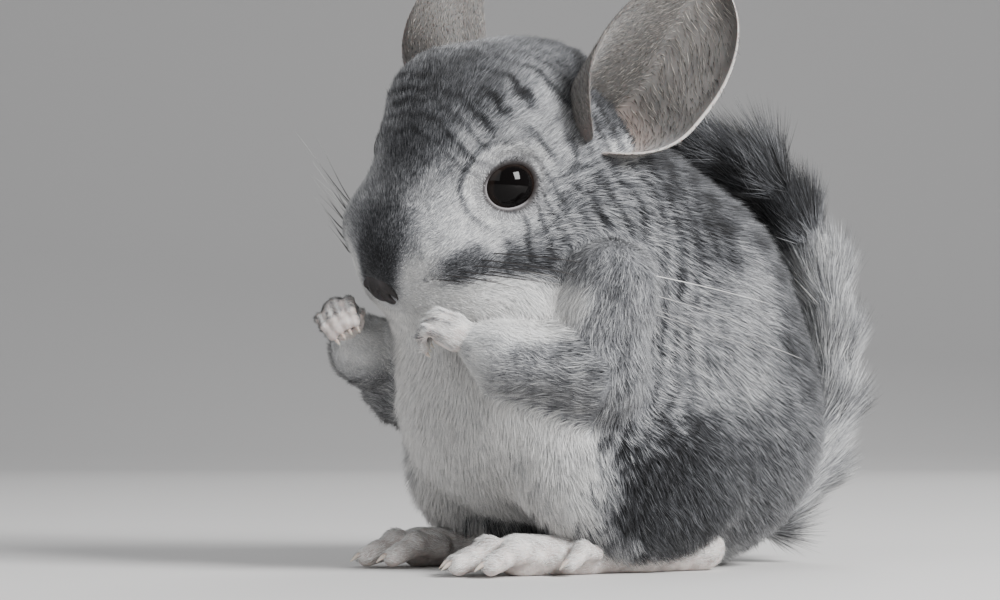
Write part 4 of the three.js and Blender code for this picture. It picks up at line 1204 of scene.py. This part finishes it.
class CHINCHILLA_OT_lids(bpy.types.Operator):
    """Put the lids round both eyes, with their short hair"""
    bl_idname = "chinchilla.lids"
    bl_label = "Lids"

    def execute(self, context):
        material = lid_material()
        coat = coat_material("lid hair")
        radius = eye_radius()
        columns = 72
        around = 2 * np.pi * np.arange(columns) / columns
        for side, suffix in SIDES:
            centre = from_head(head_side(EYE, side))
            axis = unit(HEAD_FRAME @ head_side(EYE_AXIS, side))
            back = unit(HEAD_FRAME @ np.array([-1.0, 0, 0]))
            back = unit(back - (back @ axis) * axis)
            up = np.cross(axis, back) * side
            out = back * np.cos(around)[:, None] + up * np.sin(around)[:, None]

            def at(polar, reach):
                heading = axis * np.cos(polar)[:, None] + out * np.sin(polar)[:, None]
                return centre + heading * reach[:, None]

            level = np.full(columns, radius + LID_RISE)
            widest, span = math.radians(85), math.radians(65)
            edge = widest - skin_crossing(0.0, span, columns, lambda turn: at(widest - turn, level))
            waviness = np.fft.rfft(edge)
            waviness[3:] = 0
            edge = np.fft.irfft(waviness, columns)
            rows = [
                at(edge - math.radians(degrees), np.full(columns, radius + raised))
                for degrees, raised in LID_RINGS
            ]
            for degrees, sunk in LID_SKIRT:
                polar = edge + math.radians(degrees)
                reach = skin_crossing(2.0, 16.0, columns, lambda reach: at(polar, reach))
                rows.append(at(polar, reach - sunk))
            points = np.concatenate(rows)
            faces = ring_faces(len(rows), columns)
            if side < 0:
                faces = faces[:, [0, 3, 2, 1]]
            piece = new_piece(f"lids_{suffix}", points, faces)
            row = np.repeat(np.arange(len(rows)), columns)
            # Where the pale crescent of painted reflection lies: the front and lower edge, nearest the ball.
            facing = np.tile(-np.cos(around) * 0.8 - np.sin(around) * 0.6, len(rows))
            give(piece, "moist", smooth_step(0.0, 0.7, facing) * smooth_step(2.4, 1.2, row))
            give(piece, "furred", smooth_step(2.5, 4.5, row))
            finish_piece(piece, material)
            uv = np.stack([np.tile(around / (2 * np.pi), len(rows)), row / len(rows)], -1)[faces]
            net = (points, faces, point_normals(points, faces), uv)
            away = np.tile(out, (len(rows), 1)) + 0.4 * back
            settings = {
                "length": 0.8, "cover": 5.0, "most": 40.0, "lift": 0.25, "droop": 0.1, "sunk": 0.03,
                "limit": 4500, "slot": "grey_coat", "lie": away,
            }
            coat_piece(f"coat_lids_{suffix}", coat, net, smooth_step(2.2, 3.2, row), settings, 75)
        return {"FINISHED"}


def muzzle_distance(points):
    """The bare nose pad, its nostrils and the cleft below."""
    mirrored = to_muzzle(points)
    mirrored[..., 1] = np.abs(mirrored[..., 1])
    whole = head_distance(points) + 0.6
    pad = ellipsoid(mirrored, (28.2, 1.4, NOSE_PAD[2]), (2.3, 2.8, 3.4), (0, 8, 0))
    whole = smooth_least(whole, pad, 1.8)
    wing = ellipsoid(mirrored, (28.4, 4.0, -9.6), (1.8, 1.3, 2.0), (0, 0, 0))
    whole = smooth_least(whole, wing, 1.0)
    nostril = ellipsoid(mirrored, (29.8, 3.6, -10.4), (1.5, 0.6, 1.2), (25, 0, 24))
    whole = -smooth_least(-whole, nostril, 0.5)
    cleft = limb(mirrored, ((31.0, 0, -10.4), (30.6, 0, -13), (29.2, 0, -15.5)), (0.25, 0.35, 0.4), 0.5)
    return -smooth_least(-whole, cleft, 0.6)


class CHINCHILLA_OT_muzzle(bpy.types.Operator):
    """Build the nose pad with its nostrils and cleft"""
    bl_idname = "chinchilla.muzzle"
    bl_label = "Muzzle"

    def execute(self, context):
        colours = context.scene.chinchilla_colours
        middle = from_muzzle((27, 0, -12))
        low, high = middle - 10, middle + 10

        def distance(points):
            reach = ellipsoid(to_muzzle(points), NOSE_PAD, (4.2, 5.0, 4.6), (0, 10, 0))
            return np.maximum(muzzle_distance(points), reach)

        points, faces = grid_net(distance, low, high, 0.36)
        points = relaxed(points, faces, 1)
        piece = new_piece("nose_and_lips", points, faces)
        material = bare_skin_material("nose skin", colours.nose, colours.nose_dark, 0.5)
        finish_piece(piece, material)
        return {"FINISHED"}


def paw_axes(side):
    forward = unit(np.array(PAW_FORWARD) * (side, 1, 1))
    curl = np.array(PAW_CURL) * (side, 1, 1)
    curl = unit(curl - (curl @ forward) * forward)
    return forward, curl, np.cross(forward, curl) * side


def paw_point(side, ahead, inward, sideways):
    """A point of a forepaw: on from the wrist, in towards the palm, and across it."""
    forward, curl, across = paw_axes(side)
    return np.array(ARMS[side][3], float) + forward * ahead + curl * inward + across * sideways


def paw_fingers(side):
    """Each finger's joints, and its claw's line."""
    fingers = []
    for i in range(4):
        sideways = (i - 1.5) * FINGER_GAP
        end = PALM_LENGTH - abs(i - 1.4) * 0.6
        joints = (
            paw_point(side, PALM_LENGTH - 2, 0.4, sideways * 0.9),
            paw_point(side, end + 2.6, 1.5, sideways * 1.08),
            paw_point(side, end + 2.9, 4.4, sideways),
            paw_point(side, end + 1.0, 6.6, sideways * 0.85),
        )
        claw = (
            joints[3],
            paw_point(side, end - 0.2, 7.6, sideways * 0.8),
            paw_point(side, end - 1.2, 7.8, sideways * 0.8),
        )
        fingers.append((joints, claw))
    return fingers


def paw_distance(side):
    fingers = paw_fingers(side)
    palm_line = ((-5, 0), (1, 0), (4.5, 0.4), (PALM_LENGTH, 0.8))
    palm = [paw_point(side, ahead, inward, 0) for ahead, inward in palm_line]
    thumb = [paw_point(side, *place) for place in ((3.5, 1.0, -3.2), (5.5, 2.6, -4.4), (6.4, 4.0, -4.2))]

    def distance(points):
        whole = limb(points, palm, PALM_RADII, 1)
        for sideways in (-2.2, 2.2):
            heel = (paw_point(side, 3, 1.2, sideways), paw_point(side, 6, 1.4, sideways))
            whole = smooth_least(whole, limb(points, heel, (2.1, 2.1), 1), 1)
        for joints, _ in fingers:
            finger = limb(points, joints, FINGER_RADII, 0.5)
            pad = np.linalg.norm(points - (joints[3] * 0.8 + joints[2] * 0.2), axis=-1) - 1.2
            whole = smooth_least(whole, smooth_least(finger, pad, 0.5), 0.55)
        return smooth_least(whole, limb(points, thumb, THUMB_RADII, 0.5), 0.6)

    return distance


def toe_joints(toe, side):
    across, start, length, _ = toe
    x, tip_x = SOLE[3][0] + across, SOLE[3][0] + across * TOE_SPREAD
    tip_y = start - length
    return (
        np.array([x * side, start, 4.6]),
        np.array([(x + tip_x) / 2 * side, start - length * 0.5, 5.3]),
        np.array([(x + (tip_x - x) * 0.8) * side, start - length * 0.8, 3.6]),
        np.array([tip_x * side, tip_y, 2.5]),
    )


def foot_distance(side):
    def distance(points):
        line = [(x * side, y, z) for x, y, z in SOLE]
        slim = np.where(points[..., 2:] > 4, (points - (0, 0, 4)) * (1, 1, FOOT_SLIMMING) + (0, 0, 4), points)
        whole = limb(slim, line, SOLE_RADII, 3)
        for toe in TOES:
            radius = toe[3]
            joints = toe_joints(toe, side)
            shape = limb(points, joints, (radius * 0.95, radius * 0.9, radius * 0.78, radius * 0.76), 0.8)
            knuckle = np.linalg.norm(points - joints[1] - np.array([0, 0, 0.2]), axis=-1) - radius * 0.98
            whole = smooth_least(whole, smooth_least(shape, knuckle, 1), 0.9)
        return np.maximum(whole, 0.02 - points[..., 2])

    return distance


def bare_extremity(name, material, distance, low, high, step, cad_node):
    """A paw's or foot's skin, and the net that its hair stands on."""
    points, faces = grid_net(distance, low, high, step)
    points = relaxed(points, faces, 1)
    normals = point_normals(points, faces)
    piece = new_piece(name, points, faces)
    finish_piece(piece, material, (cad_node,))
    uv = np.zeros((len(faces), 4, 2))
    span = np.array(high, float) - np.array(low, float)
    flat = (points - np.array(low, float)) / span
    side = (normals[:, 0] > 0)[faces].mean(1) > 0.5
    uv[..., 0] = flat[faces][..., 1] * 0.48 + np.where(side, 0.51, 0.01)[:, None]
    uv[..., 1] = flat[faces][..., 2] * 0.98 + 0.01
    return points, faces, normals, uv


class CHINCHILLA_OT_paws(bpy.types.Operator):
    """Build the forepaws with their fingers, hair and claws"""
    bl_idname = "chinchilla.paws"
    bl_label = "Forepaws"

    def execute(self, context):
        colours = context.scene.chinchilla_colours
        material = bare_skin_material("paw skin", colours.paw, colours.paw_dark, 0.6)
        coat = coat_material("short paw hair")
        horn = horn_material()
        for side, suffix in SIDES:
            wrist = np.array(ARMS[side][3], float)
            low, high = wrist - (16, 18, 12), wrist + (16, 8, 16)
            net = bare_extremity(
                f"forepaw_{suffix}", material, paw_distance(side), low, high, 0.4,
                f"paw_{suffix}")
            forward, curl, across = paw_axes(side)
            ahead = (net[0] - wrist) @ forward
            back = smooth_step(0.45, 0.0, net[2] @ curl)
            beside = (net[0] - wrist) @ across
            # Painted shade in the grooves between the fingers.
            groove_shade = smooth_step(0.4, 0.9, np.cos(2 * np.pi * beside / FINGER_GAP))
            groove_shade = groove_shade * smooth_step(3, 6, ahead)
            settings = {
                "length": 1.5, "cover": 3.5, "most": 26.0, "lift": 0.3, "droop": 0.15, "sunk": 0.05,
                "limit": 5500, "slot": "paw_skin", "rippled": 0,
                "tone": 0.97 - 0.2 * smooth_step(0, -5, ahead) - 0.45 * groove_shade + 0.05 * waves(net[0], 3, 31),
                "lie": forward + 0.5 * curl * smooth_step(6, 9, ahead)[:, None],
            }
            coat_piece(f"forepaw_hair_{suffix}", coat, net, back, settings, 82)
            lines = [claw for _, claw in paw_fingers(side)]
            points, faces, run = tapered_tubes(lines, np.tile(FINGER_CLAW_RADII, (len(lines), 1)))
            piece = new_piece(f"forepaw_claws_{suffix}", points, faces, sides=3)
            give(piece, "along", run)
            finish_piece(piece, horn)
        return {"FINISHED"}


class CHINCHILLA_OT_feet(bpy.types.Operator):
    """Build the long hind feet with their toes, hair and claws"""
    bl_idname = "chinchilla.feet"
    bl_label = "Hind feet"

    def execute(self, context):
        colours = context.scene.chinchilla_colours
        material = bare_skin_material("foot skin", colours.paw, colours.paw_dark, 0.6)
        coat = coat_material("short foot hair")
        horn = horn_material()
        for side, suffix in SIDES:
            low = (min(9 * side, 36 * side), -54, -1)
            high = (max(9 * side, 36 * side), 19, 12)
            net = bare_extremity(
                f"hindfoot_{suffix}", material, foot_distance(side), low, high, 0.55,
                f"foot_{suffix}")
            upper = smooth_step(-0.75, -0.3, net[2][:, 2])
            settings = {
                "length": 1.7, "cover": 4.0, "most": 24.0, "lift": 0.3, "droop": 0.15, "sunk": 0.05,
                "limit": 13000, "slot": "pale_coat", "tone": 1.08 + 0.05 * waves(net[0], 6, 33), "rippled": 0,
                "lie": np.broadcast_to((0.0, -1.0, -0.1), net[0].shape),
            }
            coat_piece(f"hindfoot_hair_{suffix}", coat, net, upper, settings, 92)
            lines = []
            for toe in TOES:
                tip = toe_joints(toe, side)[3]
                reach = 2.6 if toe[2] > 10 else 1.8
                start = tip + (0, -toe[3] * 0.35, 0.7)
                end = tip + (0, -toe[3] * 0.55 - reach, -1.0)
                lines.append((start, (start + end) / 2 + (0, 0, 0.35), end))
            points, faces, run = tapered_tubes(lines, np.tile(TOE_CLAW_RADII, (len(lines), 1)))
            piece = new_piece(f"hindfoot_claws_{suffix}", points, faces, sides=3)
            give(piece, "along", run)
            finish_piece(piece, horn)
        return {"FINISHED"}


def ear_flange(along, around, side):
    """The front part of an ear's inside, which lies over the bowl along a crease: 1 on it and 0 behind it."""
    crease = 0.14 - 0.9 * np.maximum(0, along - 0.45) ** 1.2
    return smooth_step(0.05, -0.03, around * side - crease)


def ear_place(side, along, around, offset):
    """A point of an ear's curled sheet."""
    root = from_head(head_side(EAR_ROOT, side))
    rise = unit(HEAD_FRAME @ head_side(EAR_RISE, side))
    opening = HEAD_FRAME @ head_side(EAR_OPENING, side)
    opening = unit(opening - (opening @ rise) * rise)
    across = np.cross(rise, opening)
    beyond = np.clip((along - EAR_WIDEST_AT) / (1 - EAR_WIDEST_AT), 0, 1)
    before = np.minimum(1, along / EAR_WIDEST_AT)
    narrowing = np.sqrt(np.maximum(0, 1 - beyond ** 2))
    widening = 0.42 + 0.58 * np.sin(np.pi / 2 * before)
    rounding = np.where(along > EAR_WIDEST_AT, narrowing, widening)
    half = np.maximum(EAR_HALF_WIDTH * rounding, 0.5)
    spread = np.radians(np.minimum(165, 48 + 150 * (1 - along) ** 2.2))
    curve = half / np.sin(np.minimum(spread, np.pi / 2))
    angle = spread * around
    front = np.clip(-around * side, 0, 1)
    swell = np.sin(np.pi * np.clip(along * 1.15 - 0.1, 0, 1))
    fold = 1.6 * front ** 3 * swell - 1.1 * ear_flange(along, around, side) * swell
    flutter = 0.35 * np.sin(9 * along + 2 * around) * np.abs(around)
    lift = offset - fold - flutter
    across_by = (curve - lift) * np.sin(angle)
    open_by = curve - (curve - lift) * np.cos(angle)
    up_by = EAR_LENGTH * along
    return root + rise * up_by[:, None] + across * across_by[:, None] + opening * open_by[:, None]


class CHINCHILLA_OT_ears(bpy.types.Operator):
    """Build both large rounded ears"""
    bl_idname = "chinchilla.ears"
    bl_label = "Ears"

    def execute(self, context):
        material = ear_material()
        rows, columns = 46, 44
        for side, suffix in SIDES:
            steps_up, steps_round = np.linspace(0, 1, rows + 1), np.linspace(-1, 1, columns + 1)
            grid_along, grid_around = np.meshgrid(steps_up, steps_round, indexing="ij")
            along = (1 - (1 - grid_along) ** 1.5).ravel()
            around = grid_around.ravel()
            edge = np.maximum(np.abs(around) ** 6, along ** 10)
            thickness = EAR_THICKNESS * (1 - 0.45 * edge)
            outer = ear_place(side, along, around, -thickness / 2)
            inner = ear_place(side, along, around, thickness / 2)
            points = np.concatenate([outer, inner])
            number = np.arange((rows + 1) * (columns + 1)).reshape(rows + 1, columns + 1)
            count = number.size
            a, b, c, d = number[:-1, :-1], number[:-1, 1:], number[1:, 1:], number[1:, :-1]
            outer_faces = np.stack([a, b, c, d], -1).reshape(-1, 4)
            inner_faces = outer_faces[:, ::-1] + count
            border = np.concatenate([number[0, :], number[1:, -1], number[-1, -2::-1], number[-2:0:-1, 0]])
            following = np.roll(border, -1)
            rim_faces = np.stack([border, border + count, following + count, following], -1)
            faces = np.concatenate([outer_faces, inner_faces, rim_faces])
            corner = [points[faces[:, k]] for k in range(4)]
            facing = np.cross(corner[2] - corner[0], corner[3] - corner[1])
            inside_out = ((corner[0] - points.mean(0)) * facing).sum() <= 0
            faces = faces[:, ::-1] if inside_out else faces
            piece = new_piece(f"ear_shell_{suffix}", points, faces)
            inside = np.repeat((0.0, 1.0), count)
            whole_along, whole_around = np.tile(along, 2), np.tile(around * side, 2)
            flange = np.tile(ear_flange(along, around, side), 2) * inside
            low_down = smooth_step(0.34, 0.12, whole_along) * inside * (1 - flange)
            spot = np.hypot((whole_along - 0.1) / 0.05, (whole_around - 0.36) / 0.2)
            give(piece, "inner", inside)
            give(piece, "flange", flange)
            give(piece, "edge", np.tile(edge, 2) * smooth_step(-0.6, 0.1, whole_around + 2 * whole_along - 1))
            give(piece, "low", low_down)
            give(piece, "spot", smooth_step(1.2, 0.6, spot) * inside)
            finish_piece(piece, material, (f"ear_{suffix}",))
            self.hair(suffix, side, points, faces, whole_along, whole_around, inside, flange, number)
        return {"FINISHED"}

    def hair(self, suffix, side, points, faces, along, around, inside, flange, number):
        """Short fur outside and on the front flange, fine pale hairs in the bowl, cream ones at the root."""
        colours = bpy.context.scene.chinchilla_colours
        stops = (
            (0.0, colours.black), (0.3, colours.ear_hair_dark),
            (0.7, colours.ear_hair_pale), (0.95, colours.cream),
        )
        uv = np.stack([(around + 1) * 0.24 + 0.01 + inside * 0.5, along * 0.98 + 0.01], -1)[faces]
        sheet = points.reshape(2, *number.shape, 3)
        upward = unit(np.gradient(sheet, axis=1)).reshape(-1, 3)
        backward = unit(np.gradient(sheet, axis=2)).reshape(-1, 3) * side
        bowl = inside * (1 - flange)
        root = smooth_step(0.13, 0.04, along) * inside * smooth_step(0.0, 0.3, around)
        fur = 1 - bowl
        settings = {
            "length": 1.3 * fur + bowl * (3.6 - 1.2 * np.abs(around)) + 2.5 * root,
            "cover": 2.6, "most": 12.0, "lift": 0.3 * fur + 0.2 * bowl + 0.3 * root, "droop": 0.0,
            "sunk": 0.02, "limit": 10000, "slot": "ear_skin", "rippled": 0,
            "tone": 0.46 * fur + 0.08 * flange + (0.66 - 0.36 * np.clip(around, 0, 1)) * bowl + 0.4 * root,
            "lie": upward * (fur + 0.4 * root)[:, None] + (backward - 0.35 * upward) * bowl[:, None],
        }
        in_bowl = bowl * (0.3 + 0.7 * root) * smooth_step(0.98, 0.8, np.abs(around))
        chosen = fur * smooth_step(1.0, 0.9, along) + in_bowl
        net = (points, faces, point_normals(points, faces), uv)
        coat_piece(f"coat_ear_{suffix}", coat_material("ear hair", stops), net, chosen, settings, 95)


class CHINCHILLA_OT_whiskers(bpy.types.Operator):
    """Set the long whiskers in the whisker pads"""
    bl_idname = "chinchilla.whiskers"
    bl_label = "Whiskers"

    def execute(self, context):
        longest = context.scene.chinchilla_coat.whisker / MM
        draws = np.random.default_rng(4)
        steps = 16
        lines, radii, luck = [], [], []
        share = np.linspace(0, 1, steps)
        for side, aim, reach in WHISKER_SWEEPS:
            for root, row, column in zip(*whisker_roots()):
                length = longest * reach * (0.36 + 0.125 * column) * draws.uniform(0.6, 1.02)
                spread = np.array([0, 0, -0.075 * (row - 2)])
                heading = np.array([-0.25, 0.9, -0.1]) + spread + draws.normal(0, 0.05, 3)
                sweep = np.array(aim) + spread + draws.normal(0, 0.05, 3)
                turn = np.clip(share * 2.2, 0, 1)[:, None] ** 0.7
                direction = unit(unit(heading) * (1 - turn) + unit(sweep) * turn)
                direction[:, 2] -= 0.2 * share ** 2
                path = np.cumsum(unit(direction) * (length / steps), axis=0) - direction[0] * (length / steps)
                lines.append(from_muzzle((root + path) * (1, side, 1)))
                radii.append(0.12 * (1 - share) ** 0.6 + 0.02)
                luck.append(draws.uniform(0, 1))
        points, faces, run = tapered_tubes(lines, radii, sides=4)
        piece = new_piece("whiskers", points, faces, sides=3)
        give(piece, "along", run)
        give(piece, "draw", np.repeat(luck, len(points) // len(luck)))
        finish_piece(piece, whisker_material())
        return {"FINISHED"}


class CHINCHILLA_OT_stage(bpy.types.Operator):
    """Set the floor, the lights and the camera"""
    bl_idname = "chinchilla.stage"
    bl_label = "Stage"

    def execute(self, context):
        colours = context.scene.chinchilla_colours
        self.floor(colours)
        self.light("key", (0.86, 0.28, 0.62), 0.42, 26)
        self.light("fill", (0.3, -0.95, 0.6), 0.8, 3.4)
        self.light("back", (-0.6, 0.7, 0.8), 0.6, 5)
        self.surroundings(context.scene)
        self.camera(context.scene)
        return {"FINISHED"}

    def floor(self, colours):
        half, rise, bend = 3.0, 2.2, 1.1
        profile = [(-half, 0.0), (bend, 0.0)]
        for k in range(1, 13):
            angle = math.pi / 2 * k / 12
            profile.append((bend + math.sin(angle), 1 - math.cos(angle)))
        profile.append((bend + 1, rise))
        view = np.array([-0.8660254, 0.5])
        side = np.array([-view[1], view[0]])
        points = []
        for away, height in profile:
            for sideways in (-half, half):
                place = view * away + side * sideways
                points.append((place[0], place[1], height))
        points = np.array(points) / MM - BODY_SHIFT
        points[:, 2] -= 0.05
        faces = [(2 * k, 2 * k + 1, 2 * k + 3, 2 * k + 2) for k in range(len(profile) - 1)]
        shader = Shader("plain pale floor")
        cloud = shader.noise(3, 3)
        colour = shader.blend(cloud * 0.15, colours.floor, colours.floor_cloud)
        material = shader.finish({"Roughness": 0.75, "Specular IOR Level": 0.2}, {"Base Color": colour})
        piece = new_piece("floor", points, faces)
        piece.data.materials.append(material)

    def light(self, name, place, size, power):
        lamp = bpy.data.lights.new(name, "AREA")
        lamp.shape = "SQUARE"
        lamp.size = size
        lamp.energy = power
        holder = bpy.data.objects.new(name, lamp)
        holder.location = place
        aim = Vector((0, 0, 0.07)) - Vector(place)
        holder.rotation_euler = aim.to_track_quat("-Z", "Y").to_euler()
        bpy.context.scene.collection.objects.link(holder)

    def surroundings(self, scene):
        world = bpy.data.worlds.new("studio air")
        world.use_nodes = True
        world.node_tree.nodes["Background"].inputs["Color"].default_value = (0.78, 0.8, 0.84, 1)
        world.node_tree.nodes["Background"].inputs["Strength"].default_value = 0.38
        scene.world = world

    def camera(self, scene):
        away, sideways, height, pitch = 650.0, -22.7, 35.0, 2.24
        focal_pixels, image_width = 2860.0, 1000.0
        view = np.array([-0.8660254, 0.5, math.tan(math.radians(pitch))])
        place = np.array([
            sideways * 0.5 + away * 0.8660254, sideways * 0.8660254 - away * 0.5, height,
        ])
        lens = bpy.data.cameras.new("camera")
        lens.sensor_width = 36
        lens.lens = focal_pixels / image_width * lens.sensor_width
        lens.clip_start = 0.01
        holder = bpy.data.objects.new("camera", lens)
        holder.location = (place + BODY_SHIFT) * MM
        holder.rotation_euler = Vector(view).to_track_quat("-Z", "Y").to_euler()
        scene.collection.objects.link(holder)
        scene.camera = holder


class CHINCHILLA_PT_panel(bpy.types.Panel):
    """Lists the steps that build the chinchilla"""
    bl_idname = "CHINCHILLA_PT_panel"
    bl_label = "Chinchilla"
    bl_space_type = "VIEW_3D"
    bl_region_type = "UI"
    bl_category = "Chinchilla"

    def draw(self, context):
        for step in STEPS:
            self.layout.operator(step.bl_idname)
        for group in (context.scene.chinchilla_coat, context.scene.chinchilla_colours):
            for name in group.__annotations__:
                self.layout.prop(group, name)


STEPS = (
    CHINCHILLA_OT_stage, CHINCHILLA_OT_skin, CHINCHILLA_OT_eyes, CHINCHILLA_OT_lids, CHINCHILLA_OT_muzzle,
    CHINCHILLA_OT_ears, CHINCHILLA_OT_paws, CHINCHILLA_OT_feet, CHINCHILLA_OT_coat, CHINCHILLA_OT_whiskers,
)
GROUPS = (ChinchillaCoat, ChinchillaColours)


def register():
    for kind in (*GROUPS, *STEPS, CHINCHILLA_PT_panel):
        bpy.utils.register_class(kind)
    bpy.types.Scene.chinchilla_coat = bpy.props.PointerProperty(type=ChinchillaCoat)
    bpy.types.Scene.chinchilla_colours = bpy.props.PointerProperty(type=ChinchillaColours)


def unregister():
    del bpy.types.Scene.chinchilla_coat
    del bpy.types.Scene.chinchilla_colours
    for kind in reversed((*GROUPS, *STEPS, CHINCHILLA_PT_panel)):
        bpy.utils.unregister_class(kind)


def main():
    register()
    bpy.ops.chinchilla.stage()
    bpy.ops.chinchilla.skin()
    bpy.ops.chinchilla.eyes()
    bpy.ops.chinchilla.lids()
    bpy.ops.chinchilla.muzzle()
    bpy.ops.chinchilla.ears()
    bpy.ops.chinchilla.paws()
    bpy.ops.chinchilla.feet()
    bpy.ops.chinchilla.coat()
    bpy.ops.chinchilla.whiskers()


if __name__ == "__main__":
    main()
